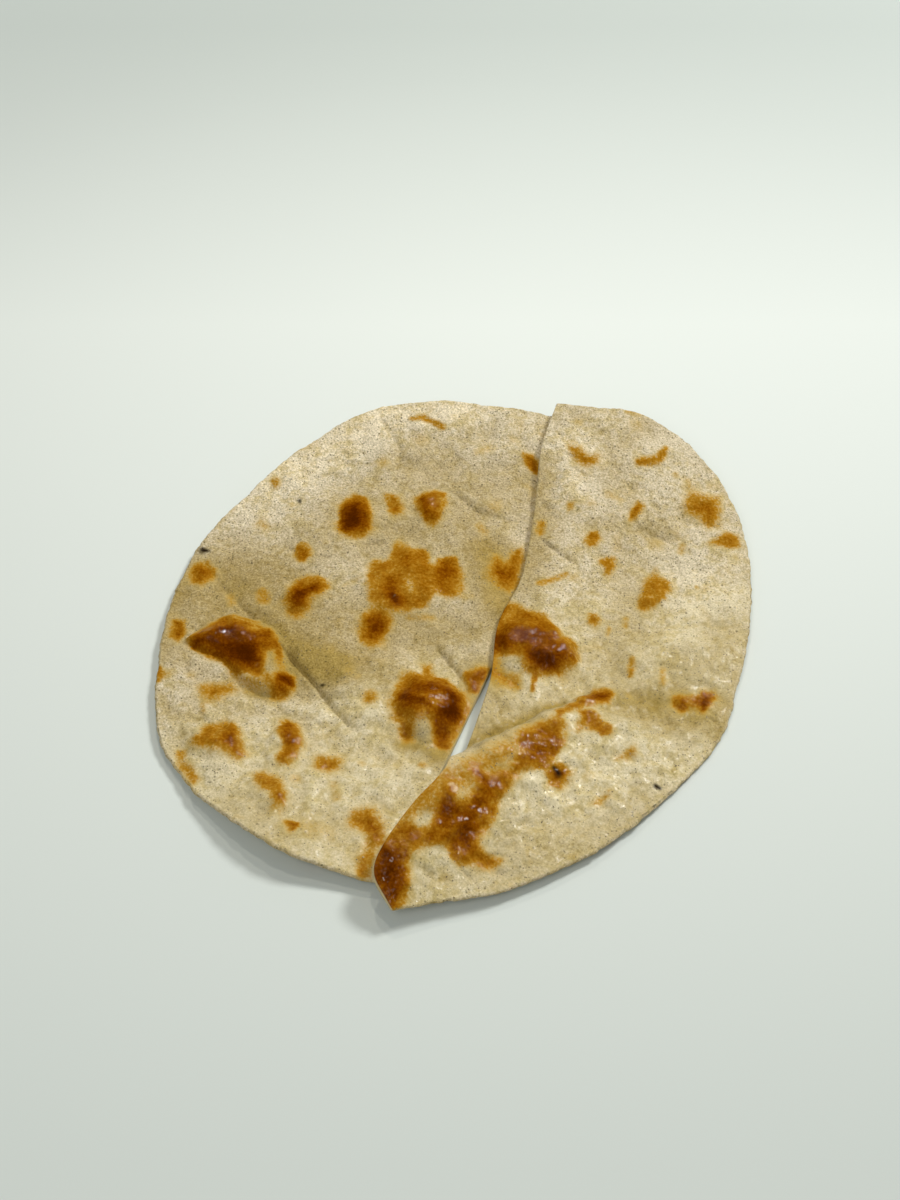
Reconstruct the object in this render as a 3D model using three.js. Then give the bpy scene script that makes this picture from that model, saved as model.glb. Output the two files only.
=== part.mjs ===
// A tandoori roti: one round whole-wheat flatbread, torn from the oven wall and cut in two.
// The halves still keep the round. The right one lies a little over the left one at the back,
// leaves a narrow gap at the middle and buckles up into a fold at the front.
// Millimetres, +Z up. X runs to the right, Y to the back, and the bread lies on the table at Z = 0.
import * as THREE from "three";

// Driving dimensions of the bread
const DOUGH = 3; // thickness of the baked dough
const RIM_DOUGH = 2.1; // thickness left at the rolled rim
const RIM_TAPER = 9; // how far in from the rim the dough thins
const RIM_BULGE = 0.7; // the rim is rounded by this much
const CUT_BULGE = 0.15; // the cut edge is nearly square

// Plan of each half, from the back corner to the front corner: the rim, and the cut
const LEFT_RIM = [
  [57, 103], [36, 112], [11, 117], [-12, 119], [-36, 114.5], [-62, 97.5], [-86, 72.5], [-102, 47],
  [-110, 15], [-110.5, -20], [-106, -48], [-86, -75.5], [-60, -95.5], [-25.5, -107],
];
const LEFT_CUT = [[57, 103], [-25.5, -107]];
const RIGHT_RIM = [
  [40, 114.5], [58, 112.5], [75, 109.5], [92, 98], [105, 78], [111, 52], [110.5, 22], [104, -9],
  [93, -42], [75, -65.5], [50, -89.5], [20, -107], [-23, -118.5],
];
const RIGHT_CUT = [
  [40, 114.5], [33, 92], [30, 66], [23.5, 29], [14, 5], [10.5, -22], [1.5, -52], [-5.5, -71],
  [-17, -85], [-26, -98], [-29, -108], [-23, -118.5],
];

// How the bread lies: flat under the middle, with its margins curled up from the table
const BACK_CURL = { from: 22, run: 60, deg: 12 };
const FRONT_CURL = { from: 45, run: 30, deg: 14 };
const SIDE_CURL = { from: 83, run: 25, deg: 8 };
const FRONT_CURL_FADES = { from: -79, to: -29, left: 0.25 }; // the front curl dies away to the right

// The right half is carried by the left half's margin
const LAP_LIFT = DOUGH + 0.5;
const LAP_SETTLES = 45; // it is back down on the table this far past the left half's cut
const LAP_FRONT = { from: -64, to: -24 }; // and does not overlap it further forward than this

// The fold at the front of the right half: a ridge that rises at the cut and runs out to the right
const RIDGE = { x: -7, y: -72, turnDeg: 36, high: 17, back: 13, front: 44 };
const RIDGE_THINS_OVER = 110; // the ridge loses height evenly, and would be gone this far along
const RIDGE_RUNS_OUT = { from: 58, to: 95 };
const RIDGE_DROOPS = { from: 0, to: -38, left: 0.7 }; // the loose corner hangs lower

// Large blisters: centre, half length, half width, turn of the length from X, and height
const LEFT_BLISTERS = [
  { x: -81, y: -10, long: 23, wide: 14, turnDeg: -27, high: 7 },
  { x: -11, y: -33, long: 16, wide: 14, turnDeg: 80, high: 5 },
  { x: -41, y: 60, long: 12, wide: 8, turnDeg: 85, high: 2 },
  { x: -11, y: 65, long: 10, wide: 8, turnDeg: 85, high: 2 },
  { x: -20, y: 26, long: 22, wide: 18, turnDeg: 20, high: 2.2 },
  { x: -59, y: 21, long: 12, wide: 8, turnDeg: 40, high: 2 },
  { x: -86, y: -50, long: 13, wide: 9, turnDeg: -10, high: 2.6 },
  { x: -62, y: -50, long: 12, wide: 8, turnDeg: 75, high: 2.6 },
  { x: -65, y: -73, long: 11, wide: 8, turnDeg: -50, high: 2 },
];
const RIGHT_BLISTERS = [
  { x: 28, y: -6, long: 18, wide: 15, turnDeg: -20, high: 5 },
  { x: 75, y: 24, long: 11, wide: 8, turnDeg: 60, high: 1.8 },
  { x: 96, y: 65, long: 11, wide: 9, turnDeg: -50, high: 1.8 },
  { x: 84, y: -29, long: 10, wide: 6, turnDeg: 0, high: 1.6 },
];

// Facets of each half: along its cut, and from the cut to the rim
const ALONG = 52;
const ACROSS = 25;
const RIM_SHARE = 0.27; // share of the rim that closes the grid at each end of the cut
const SLOPE_STEP = 0.5; // span over which a slope is measured

const radians = THREE.MathUtils.degToRad;

// A slope that starts from nothing and reaches one in one over the run
function easedRamp(past, run) {
  if (past <= 0) return 0;
  return past < run ? (past * past) / (2 * run) : past - run / 2;
}

function curl(past, { run, deg }) {
  return Math.tan(radians(deg)) * easedRamp(past, run);
}

// Eased change from 0 at one value to 1 at another, in either direction
function eased(from, to, value) {
  const share = THREE.MathUtils.clamp((value - from) / (to - from), 0, 1);
  return share * share * (3 - 2 * share);
}

// Height of the table side of either half, before the right half's lap and fold
function lie(x, y) {
  const back = curl(y - BACK_CURL.from, BACK_CURL);
  const fade = eased(FRONT_CURL_FADES.from, FRONT_CURL_FADES.to, x);
  const front = curl(-y - FRONT_CURL.from, FRONT_CURL) * (1 - (1 - FRONT_CURL_FADES.left) * fade);
  const side = curl(Math.abs(x) - SIDE_CURL.from, SIDE_CURL);
  return back + front + side;
}

// Distance to the right of the left half's cut, negative over the left half
function pastLeftCut(x, y) {
  const [[backX, backY], [frontX, frontY]] = LEFT_CUT;
  const length = Math.hypot(frontX - backX, frontY - backY);
  return ((x - backX) * (backY - frontY) + (y - backY) * (frontX - backX)) / length;
}

function lap(x, y) {
  return LAP_LIFT * (1 - eased(0, LAP_SETTLES, pastLeftCut(x, y))) * eased(LAP_FRONT.from, LAP_FRONT.to, y);
}

// A half wave that falls from 1 at the ridge to 0 at the given reach
function fall(distance, reach) {
  return 0.5 * (1 + Math.cos(Math.PI * Math.min(distance / reach, 1)));
}

function fold(x, y) {
  const turn = radians(RIDGE.turnDeg);
  const along = (x - RIDGE.x) * Math.cos(turn) + (y - RIDGE.y) * Math.sin(turn);
  const ahead = (x - RIDGE.x) * Math.sin(turn) - (y - RIDGE.y) * Math.cos(turn);
  const thinned = Math.max(0, 1 - Math.max(0, along) / RIDGE_THINS_OVER);
  const runOut = 1 - eased(RIDGE_RUNS_OUT.from, RIDGE_RUNS_OUT.to, along);
  const droop = 1 - (1 - RIDGE_DROOPS.left) * eased(RIDGE_DROOPS.from, RIDGE_DROOPS.to, along);
  const section = ahead < 0 ? fall(-ahead, RIDGE.back * (0.4 + 0.6 * thinned)) : fall(ahead, RIDGE.front);
  return RIDGE.high * thinned * runOut * droop * section;
}

function leftLie(x, y) {
  return lie(x, y);
}

function rightLie(x, y) {
  return lie(x, y) + lap(x, y) + fold(x, y);
}

// Height that the blisters add to the upper side
function swelling(blisters, x, y) {
  let height = 0;
  for (const { x: atX, y: atY, long, wide, turnDeg, high } of blisters) {
    const turn = radians(turnDeg);
    const u = ((x - atX) * Math.cos(turn) + (y - atY) * Math.sin(turn)) / long;
    const v = ((y - atY) * Math.cos(turn) - (x - atX) * Math.sin(turn)) / wide;
    const inside = Math.max(0, 1 - u * u - v * v);
    height = Math.max(height, high * inside * inside * (3 - 2 * inside));
  }
  return height;
}

function curveThrough(points) {
  const corners = points.map(([x, y]) => new THREE.Vector3(x, y, 0));
  return new THREE.CatmullRomCurve3(corners, false, "catmullrom", 0.5);
}

// Plan points of a half as rows from the cut to the rim: a patch stretched between its four sides
function planGrid(rimPoints, cutPoints) {
  const rim = curveThrough(rimPoints);
  const cut = curveThrough(cutPoints);
  const cutSide = (u) => cut.getPointAt(u);
  const rimSide = (u) => rim.getPointAt(RIM_SHARE + (1 - 2 * RIM_SHARE) * u);
  const backSide = (v) => rim.getPointAt(RIM_SHARE * v);
  const frontSide = (v) => rim.getPointAt(1 - RIM_SHARE * v);
  const rows = [];
  for (let j = 0; j <= ACROSS; j++) {
    const v = j / ACROSS;
    const row = [];
    for (let i = 0; i <= ALONG; i++) {
      const u = i / ALONG;
      const point = cutSide(u).multiplyScalar(1 - v).addScaledVector(rimSide(u), v);
      point.addScaledVector(backSide(v), 1 - u).addScaledVector(frontSide(v), u);
      point.addScaledVector(cutSide(0), -(1 - u) * (1 - v)).addScaledVector(cutSide(1), -u * (1 - v));
      point.addScaledVector(rimSide(0), -(1 - u) * v).addScaledVector(rimSide(1), -u * v);
      row.push(point);
    }
    rows.push(row);
  }
  return rows;
}

// Grid positions of the margin in one round: down the cut, then back along the rim
function marginRound() {
  const round = [];
  for (let i = 0; i < ALONG; i++) round.push([i, 0]);
  for (let j = 0; j < ACROSS; j++) round.push([ALONG, j]);
  for (let i = ALONG; i > 0; i--) round.push([i, ACROSS]);
  for (let j = ACROSS; j > 0; j--) round.push([0, j]);
  return round;
}

// Distance from a plan point to the nearest rim sample
function distanceToRim(point, rimSamples) {
  return Math.min(...rimSamples.map((sample) => sample.distanceTo(point)));
}

// The closed sheet of one half: the upper side, the table side and the rounded edge between them
function halfGeometry({ rim, cut, lieOf, blisters }) {
  const plan = planGrid(rim, cut);
  const rimSamples = curveThrough(rim).getSpacedPoints(4 * ALONG);
  const upward = (x, y) => {
    const slopeX = (lieOf(x + SLOPE_STEP, y) - lieOf(x - SLOPE_STEP, y)) / (2 * SLOPE_STEP);
    const slopeY = (lieOf(x, y + SLOPE_STEP) - lieOf(x, y - SLOPE_STEP)) / (2 * SLOPE_STEP);
    return new THREE.Vector3(-slopeX, -slopeY, 1).normalize();
  };
  const vertices = [];
  const upper = [];
  const lower = [];
  const addVertex = (point) => vertices.push(point) - 1;
  for (const row of plan) {
    const upperRow = [];
    const lowerRow = [];
    for (const { x, y } of row) {
      const inFromRim = eased(0, RIM_TAPER, distanceToRim(new THREE.Vector3(x, y, 0), rimSamples));
      const dough = RIM_DOUGH + (DOUGH - RIM_DOUGH) * inFromRim;
      const middle = new THREE.Vector3(x, y, lieOf(x, y) + DOUGH / 2);
      const normal = upward(x, y);
      const swell = swelling(blisters, x, y) * inFromRim;
      upperRow.push(addVertex(middle.clone().addScaledVector(normal, dough - DOUGH / 2 + swell)));
      lowerRow.push(addVertex(middle.clone().addScaledVector(normal, -DOUGH / 2)));
    }
    upper.push(upperRow);
    lower.push(lowerRow);
  }

  const faces = [];
  const addQuad = (a, b, c, d) => faces.push(a, b, d, b, c, d); // split along the fold's direction
  for (let j = 0; j < ACROSS; j++) {
    for (let i = 0; i < ALONG; i++) {
      addQuad(upper[j][i], upper[j][i + 1], upper[j + 1][i + 1], upper[j + 1][i]);
      addQuad(lower[j][i], lower[j + 1][i], lower[j + 1][i + 1], lower[j][i + 1]);
    }
  }

  const round = marginRound();
  const planAt = ([i, j]) => plan[j][i];
  const turning = Math.sign(
    round.reduce((area, place, k) => {
      const here = planAt(place);
      const next = planAt(round[(k + 1) % round.length]);
      return area + here.x * next.y - next.x * here.y;
    }, 0),
  );
  const edge = round.map(([i, j], k) => {
    const before = planAt(round[(k + round.length - 1) % round.length]);
    const after = planAt(round[(k + 1) % round.length]);
    const outward = new THREE.Vector3(after.y - before.y, before.x - after.x, 0).normalize();
    const bulge = j === 0 ? CUT_BULGE : RIM_BULGE;
    const middle = vertices[upper[j][i]].clone().lerp(vertices[lower[j][i]], 0.5);
    return addVertex(middle.addScaledVector(outward, turning * bulge));
  });
  round.forEach(([i, j], k) => {
    const next = (k + 1) % round.length;
    const [nextI, nextJ] = round[next];
    addQuad(upper[j][i], edge[k], edge[next], upper[nextJ][nextI]);
    addQuad(edge[k], lower[j][i], lower[nextJ][nextI], edge[next]);
  });
  if (turning < 0) faces.reverse();

  const geometry = new THREE.BufferGeometry().setFromPoints(vertices);
  geometry.setIndex(faces);
  geometry.computeVertexNormals();
  return geometry;
}

function crust() {
  return new THREE.MeshStandardMaterial({ color: 0xcdbb94, roughness: 0.6, metalness: 0 });
}

const leftHalf = new THREE.Mesh(
  halfGeometry({ rim: LEFT_RIM, cut: LEFT_CUT, lieOf: leftLie, blisters: LEFT_BLISTERS }),
  crust(),
);
leftHalf.name = "left_half";

const rightHalf = new THREE.Mesh(
  halfGeometry({ rim: RIGHT_RIM, cut: RIGHT_CUT, lieOf: rightLie, blisters: RIGHT_BLISTERS }),
  crust(),
);
rightHalf.name = "right_half";

const roti = new THREE.Group();
roti.name = "tandoori_roti";
roti.add(leftHalf, rightHalf);

export default roti;
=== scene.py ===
"""A tandoori roti cut in two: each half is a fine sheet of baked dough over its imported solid.
Values are in millimetres and turn to metres in the meshes. X runs to the right, Y to the back."""
import math

import bmesh
import bpy
import numpy as np
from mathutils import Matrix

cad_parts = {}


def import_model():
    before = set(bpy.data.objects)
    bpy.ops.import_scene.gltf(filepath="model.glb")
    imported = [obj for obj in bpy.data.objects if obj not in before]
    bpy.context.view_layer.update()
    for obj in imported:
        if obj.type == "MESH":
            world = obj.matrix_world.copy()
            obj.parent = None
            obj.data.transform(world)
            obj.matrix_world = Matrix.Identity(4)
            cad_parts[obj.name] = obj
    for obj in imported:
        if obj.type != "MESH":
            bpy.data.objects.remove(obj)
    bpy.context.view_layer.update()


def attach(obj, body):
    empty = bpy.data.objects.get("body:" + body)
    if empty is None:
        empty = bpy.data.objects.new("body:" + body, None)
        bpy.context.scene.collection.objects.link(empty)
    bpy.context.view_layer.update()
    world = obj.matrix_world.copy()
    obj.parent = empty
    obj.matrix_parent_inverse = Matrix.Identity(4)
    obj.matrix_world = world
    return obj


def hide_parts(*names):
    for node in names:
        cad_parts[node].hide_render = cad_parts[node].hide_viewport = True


METRES = 0.001

# Driving dimensions of the bread, as in the solids
DOUGH = 3.0
RIM_DOUGH = 2.1
RIM_TAPER = 9.0
RIM_BULGE = 0.7
CUT_BULGE = 0.15
LEFT_RIM = [
    (57, 103), (36, 112), (11, 117), (-12, 119), (-36, 114.5), (-62, 97.5), (-86, 72.5), (-102, 47),
    (-110, 15), (-110.5, -20), (-106, -48), (-86, -75.5), (-60, -95.5), (-25.5, -107),
]
LEFT_CUT = [(57, 103), (-25.5, -107)]
RIGHT_RIM = [
    (40, 114.5), (58, 112.5), (75, 109.5), (92, 98), (105, 78), (111, 52), (110.5, 22), (104, -9),
    (93, -42), (75, -65.5), (50, -89.5), (20, -107), (-23, -118.5),
]
RIGHT_CUT = [
    (40, 114.5), (33, 92), (30, 66), (23.5, 29), (14, 5), (10.5, -22), (1.5, -52), (-5.5, -71),
    (-17, -85), (-26, -98), (-29, -108), (-23, -118.5),
]
BACK_CURL = {"start": 22, "run": 60, "deg": 12}
FRONT_CURL = {"start": 45, "run": 30, "deg": 14}
SIDE_CURL = {"start": 83, "run": 25, "deg": 8}
FRONT_CURL_FADES = {"start": -79, "end": -29, "left": 0.25}
LAP_LIFT = DOUGH + 0.5
LAP_SETTLES = 45
LAP_FRONT = {"start": -64, "end": -24}
RIDGE = {"x": -7, "y": -72, "turn": 36, "high": 17, "back": 13, "front": 44}
RIDGE_BACK_LEFT = 0.4
RIDGE_THINS_OVER = 110
RIDGE_RUNS_OUT = {"start": 58, "end": 95}
RIDGE_DROOPS = {"start": 0, "end": -38, "left": 0.7}

# Crisp front of the fold's crest, which the solids don't have: rounding, reach, share of the height and fall
CREST_ROUND = 1.5
CREST_REACH = 30
CREST_SHARE = 0.4
CREST_FALL = 1.5

# The great blister's foot and how high it stands; its wall is steep in front and eases out at the back
GREAT_BLISTER_FOOT = [
    (-103, -1.5), (-96, -6), (-90, -8), (-83.5, -15), (-79, -21), (-73, -25), (-67, -27.6), (-62, -25.5),
    (-60.5, -20), (-62, -12), (-65, -4), (-69, 4), (-76, 10), (-86, 13), (-95, 8),
]
GREAT_BLISTER_HIGH = 5.6
GREAT_BLISTER_WALL = {"front": 5.5, "back": 15}
GREAT_BLISTER_MIDDLE = (-81, -10)
GREAT_BLISTER_BACKWARD = (0.6, 0.8)
GREAT_BLISTER_EASES = {"start": -12, "end": 8}
GREAT_BLISTER_SAG = 0.5

# Large blisters: centre, half length, half width, turn of the length from X, and height
LEFT_BLISTERS = [
    (-11, -33, 16, 14, 80, 5),
    (-41, 60, 12, 8, 85, 2),
    (-11, 65, 10, 8, 85, 2),
    (-20, 26, 22, 18, 20, 2.2),
    (-59, 21, 12, 8, 40, 2),
    (-86, -50, 13, 9, -10, 2.6),
    (-62, -50, 12, 8, 75, 2.6),
    (-65, -73, 11, 8, -50, 2),
]
RIGHT_BLISTERS = [
    (28, -6, 18, 15, -20, 5),
    (75, 24, 11, 8, 60, 1.8),
    (96, 65, 11, 9, -50, 1.8),
    (84, -29, 10, 6, 0, 1.6),
]

# Broad swells of the dough between the creases, in the same order as the blisters' values
LEFT_PUFFS = [
    (-30, 42, 62, 42, 20, 3.0),
    (-28, -24, 32, 20, -50, 1.6),
    (-92, -36, 20, 34, 20, 1.2),
]
RIGHT_PUFFS = [
    (78, -12, 26, 20, 20, 2.0),
    (66, 70, 34, 30, 60, 1.6),
]

# Creases: groove depth, half width, rise of the side on the left of the way it runs, its reach, and points
LEFT_CREASES = [
    (1.3, 0.7, 3.0, 14, [
        (-71, 1), (-67, -4), (-61, -12.3), (-54, -21), (-48, -30), (-41, -39.3), (-34, -48),
    ]),
    (0.6, 1.2, 1.4, 12, [(-102, 42), (-96, 33), (-88, 22), (-80, 12), (-72, 4)]),
    (1.0, 0.7, 1.8, 9, [(-11, -1), (-7, -7), (-2, -15), (2, -23), (3, -28)]),
    (0.6, 1.4, -2.0, 14, [(-36, 115), (-31, 107), (-28, 102), (-25, 96), (-25, 86), (-28, 78)]),
    (0.5, 1.3, 2.0, 14, [(-8, 77), (1, 69), (5, 64), (14, 60), (26, 58)]),
    (0.7, 0.9, 0.8, 8, [(-44, 36), (-38, 41), (-34, 46), (-26, 48)]),
    (1.2, 6.0, 0.0, 8, [(-54, -18), (-46, -11), (-36, -5), (-22, -2), (-8, 0)]),
]
RIGHT_CREASES = [
    (0.8, 1.0, 1.4, 8, [(30, 50), (34, 45), (40, 39), (47, 33)]),
    (0.5, 3.0, -2.0, 14, [(43, -36), (54, -38), (72, -40), (98, -40)]),
    (0.9, 4.0, 0.0, 8, [(66, 20), (61, 8), (57, -4), (56, -16)]),
    (0.5, 1.6, 1.2, 10, [(62, 70), (70, 54), (82, 50), (96, 54)]),
]

# Browned patches in plan: strength, half the width of the soft margin, and the outline; darker hearts follow
LEFT_BROWNED = {
    "oval": [
        (0.5, 1.3, [
            (-42.5, 72.5), (-38, 70.5), (-36, 66), (-35, 60), (-35.5, 54), (-38.5, 50.3), (-42, 49.6),
            (-45.5, 51), (-48, 55), (-48.2, 61), (-47, 66), (-45, 70),
        ]),
        (0.8, 2.4, [
            (-42, 69), (-38, 66), (-36.8, 59), (-37, 54), (-40, 51.5), (-45, 52.3), (-47, 57), (-46, 64),
        ]),
        (0.86, 2.6, [
            (-43.5, 64.5), (-39, 64), (-37.5, 57), (-38, 53.5), (-41, 52), (-45, 53.2), (-45, 58),
        ]),
    ],
    "amber by the oval": [
        (0.34, 1.3, [
            (-30, 71.5), (-26, 72), (-24, 69.5), (-22.5, 65), (-22.8, 62), (-26, 61), (-28.5, 62.5),
            (-29.3, 66),
        ]),
        (0.48, 1.6, [(-28.5, 66), (-24.5, 67), (-23, 63.5), (-24.5, 62), (-27.5, 63)]),
    ],
    "shield": [
        (0.38, 1.4, [
            (-17.5, 70), (-15, 72), (-10, 73.5), (-5.5, 72), (-5, 68), (-6.5, 63), (-7, 58.5), (-10.5, 56),
            (-13.5, 57), (-15.5, 60.5), (-16.5, 65),
        ]),
        (0.68, 1.7, [
            (-16.5, 69.5), (-13.5, 70.5), (-12, 67), (-12, 61), (-13.5, 58), (-15.3, 61), (-16, 65),
        ]),
        (0.52, 2.2, [(-13, 66), (-8, 66), (-7.8, 60), (-11, 57), (-13.5, 59)]),
    ],
    "upright bean": [
        (0.42, 1.2, [
            (-62.5, 47), (-60, 46.5), (-58.5, 43), (-58, 40), (-60.5, 37.2), (-63, 38.5), (-64.2, 42),
            (-64, 45),
        ]),
        (0.54, 1.6, [(-62.5, 44.5), (-60.5, 44.5), (-59.5, 41), (-61, 38.8), (-63, 41)]),
    ],
    "kidney": [
        (0.42, 1.6, [
            (-63, 28.5), (-59, 30), (-55, 29.5), (-51.5, 26.5), (-50.5, 23), (-52.5, 20.5), (-56, 17.5),
            (-58.5, 14.5), (-59.5, 10.5), (-62, 9), (-65, 11), (-66, 16), (-65.5, 21), (-64, 25),
        ]),
        (0.76, 2.2, [
            (-64, 22), (-60, 23.5), (-56, 25.5), (-52.5, 24), (-53, 21.5), (-57.5, 18.5), (-59.5, 14.5),
            (-63, 13.5), (-65, 17.5),
        ]),
    ],
    "cluster": [
        (0.38, 1.5, [
            (-24, 47.5), (-21, 46), (-19, 43.5), (-14, 43.5), (-11.5, 41.5), (-12, 36), (-9.5, 35),
            (-9, 38.5), (-6, 40), (-2, 39.5), (-0.5, 36), (0.5, 30), (0.8, 25), (0, 20), (-5, 19),
            (-9, 20), (-12, 17), (-13, 14), (-17, 13), (-21, 11.5), (-24, 12), (-27, 11.5), (-30, 13),
            (-33, 14.5), (-35, 18), (-35.5, 24), (-36, 31), (-35, 36), (-33, 38.5), (-30, 37.5),
            (-27.5, 38.5), (-26.5, 42), (-26, 45.5),
        ]),
        (0.52, 2.0, [(-24, 42), (-21, 43), (-19, 39), (-17.5, 34), (-18.5, 30.5), (-22, 31), (-23, 36)]),
        (0.6, 2.2, [
            (-8, 38.5), (-3, 38.5), (-1, 34), (-0.8, 27), (-4, 24.5), (-7, 22), (-10.5, 24), (-11, 29),
            (-9, 34),
        ]),
        (0.58, 2.2, [
            (-30, 29), (-24.5, 30), (-22, 26), (-22, 20), (-21, 15), (-24, 13.5), (-28, 16), (-29.5, 22),
        ]),
        (0.92, 1.6, [(-28.3, 20.8), (-24.5, 21), (-22.5, 18), (-22.8, 14.6), (-26, 15.2)]),
    ],
    "foot of the cluster": [
        (0.52, 2.4, [
            (-33.5, 13.5), (-28.5, 12.5), (-26, 9), (-27.5, 4), (-30.5, -0.5), (-34, -2.5), (-37, -0.5),
            (-37.8, 4), (-36.5, 9),
        ]),
        (0.68, 2.2, [(-35.5, 8), (-31, 11), (-28, 8.5), (-29.5, 3), (-32.5, 0), (-36, 3)]),
    ],
    "by the cut": [
        (0.46, 2.4, [
            (12.5, 38), (14.5, 41), (18, 38), (21, 44.5), (23.5, 45), (24, 40), (23, 34), (22, 28),
            (18.5, 24.5), (14, 26.5), (11, 31), (11.5, 35),
        ]),
        (0.52, 2.0, [(14, 35), (18, 34), (21, 36), (21.5, 30), (17, 27.5), (14, 30)]),
    ],
    "wedge at the cut": [
        (0.52, 1.4, [(26, 93), (29.5, 91), (31.5, 88), (32, 84), (30.5, 82), (28, 86), (26.5, 89.5)]),
    ],
    "great blister": [
        (0.48, 1.3, [
            (-102.5, -1.5), (-99, 0.9), (-96, 3.2), (-93, 5.9), (-90, 8.7), (-87, 9.4), (-84, 7.6),
            (-80, 7.2), (-77, 6.6), (-74, 4.8), (-71, 3), (-69.5, 1), (-67.5, -2), (-66.5, -6),
            (-65.5, -11), (-64.5, -16), (-62.5, -18.5), (-61.5, -21.5), (-65, -23.5), (-70, -22),
            (-76, -19.5), (-81, -17.5), (-85, -15), (-90.5, -9.2), (-96, -7.2), (-100, -4.8),
        ]),
        (0.72, 2.0, [
            (-100.5, -2.8), (-96, -1), (-92, 2.5), (-88, 5.2), (-83, 5), (-78, 2.4), (-74, 0), (-72, -6),
            (-72, -12), (-71.5, -16.5), (-74, -18), (-81, -16), (-85, -12.5), (-90, -7.6), (-96, -5.4),
        ]),
        (0.92, 2.4, [
            (-96, -4), (-88, -3.5), (-78, -5), (-74, -9.5), (-73.5, -15.5), (-81, -14), (-88.5, -7.4),
        ]),
        (0.72, 1.6, [(-75, 3.5), (-72, 3.5), (-70.5, -1), (-71, -7), (-73.5, -6), (-75, -1)]),
        (1.0, 1.8, [(-67.8, -18.4), (-62, -18.4), (-61.4, -22.5), (-67, -23)]),
        (0.24, 2.6, [(-83, -17.5), (-70, -19.5), (-67, -23), (-70, -26), (-78, -24.5), (-83, -21)]),
        (0.66, 2.0, [(-70.5, -22), (-62, -20), (-61, -23.5), (-64, -26.8), (-68, -27)]),
    ],
    "at the left rim": [
        (0.5, 1.8, [
            (-103, 38), (-98.5, 38.5), (-95.5, 35), (-96, 30), (-99.5, 27), (-103.5, 28.5), (-104.5, 33),
        ]),
        (0.54, 1.8, [(-102, 34), (-98, 34.5), (-97.5, 31), (-101, 29.5)]),
        (0.62, 1.8, [(-108, 8.5), (-104.5, 8), (-104, 3), (-105.5, -1), (-108, 1)]),
        (0.36, 1.5, [
            (-100, -52), (-97.5, -52), (-96.5, -57), (-93.5, -61), (-91.5, -65), (-93, -67), (-96, -63),
            (-98.8, -58.5),
        ]),
    ],
    "amber below the great blister": [
        (0.34, 2.0, [
            (-95.5, -22.5), (-92, -20.8), (-87, -20.5), (-83, -21), (-81.5, -23.5), (-84, -26),
            (-87.5, -29), (-92, -29.5), (-94.5, -27.5),
        ]),
        (0.46, 2.0, [(-93.5, -25), (-90, -23), (-87.5, -26), (-91, -28.5)]),
    ],
    "arch": [
        (0.38, 1.9, [
            (-92, -41), (-88, -40.3), (-84, -39), (-81, -40), (-79, -43), (-78, -48), (-76.5, -53),
            (-76, -55.5), (-78.5, -58), (-81, -57), (-83, -54.5), (-86, -54), (-90, -53), (-94, -51.5),
            (-96, -49), (-95, -46.5), (-92.5, -45.5), (-92.5, -43),
        ]),
        (0.46, 2.0, [
            (-84, -41.5), (-80.5, -42), (-79.5, -47), (-78, -53), (-79.5, -56), (-82, -53.5),
            (-83.5, -49),
        ]),
        (0.4, 1.8, [(-95, -48), (-91, -47.5), (-86, -49), (-86, -52.5), (-91, -52), (-94, -51)]),
        (0.85, 2.2, [(-83, -47.5), (-80.5, -48), (-80, -52.5), (-83, -52)]),
    ],
    "crescent": [
        (0.48, 1.4, [
            (-64.5, -38), (-61.5, -37.5), (-58.5, -39.5), (-57, -44), (-56.5, -50), (-58, -55),
            (-60.5, -58.7), (-63.5, -59), (-64.5, -56.5), (-63.5, -53), (-62.5, -50.5), (-64, -47.5),
            (-65, -44), (-64.5, -41),
        ]),
        (0.53, 2.0, [(-63.5, -44), (-60, -45), (-57.8, -49), (-59.5, -54), (-61.5, -53), (-62, -49)]),
    ],
    "hook": [
        (0.35, 2.0, [
            (-71.5, -63), (-69.5, -61.3), (-66, -63.5), (-63, -65.5), (-61.5, -69), (-60.5, -74),
            (-60.3, -78.5), (-62, -80.3), (-64.8, -79.5), (-65.5, -76), (-65, -72.5), (-69, -71.5),
            (-71.5, -69), (-72, -66),
        ]),
        (0.52, 2.0, [(-64.5, -73), (-61.5, -73), (-61, -78), (-64, -79)]),
    ],
    "small ones in front": [
        (0.44, 2.8, [
            (-50, -55), (-46, -55), (-42.5, -56.5), (-42.5, -59.5), (-46.5, -61.5), (-50.5, -60.5),
            (-51, -58),
        ]),
        (0.56, 1.3, [(-59.5, -84.5), (-55.5, -84.5), (-55.3, -86.5), (-57.5, -88.5), (-58.5, -86.5)]),
    ],
    "middle blister": [
        (0.42, 1.7, [
            (-13.5, -12.5), (-11.5, -12), (-10.5, -16), (-9, -19), (-5, -19.5), (-3, -22.5), (0, -26),
            (1, -30), (1, -34), (-0.5, -39), (-2, -43), (-3.5, -48), (-5, -50), (-9, -49.5),
            (-10.5, -46.5), (-10.5, -43), (-13, -41), (-15.5, -42.5), (-17.5, -45), (-19, -47.5),
            (-20.5, -45), (-20.5, -41), (-22.5, -36.5), (-24.5, -32), (-24.5, -27), (-22.5, -22),
            (-21.5, -18), (-18, -16.5), (-15, -17.5), (-14, -15.5),
        ]),
        (0.6, 2.6, [(-19, -22), (-8, -22), (-3, -27), (-5, -33), (-10, -36), (-18, -33), (-22, -28)]),
        (0.78, 1.8, [
            (-24, -28), (-21, -28.5), (-15, -32.5), (-10, -36), (-9, -38.5), (-15, -36.5), (-21, -34.5),
            (-24, -32),
        ]),
        (1.0, 2.8, [
            (-5, -27.5), (-0.5, -28.5), (1, -33), (-0.5, -39), (-4, -41), (-9, -41.5), (-8.5, -38),
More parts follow.
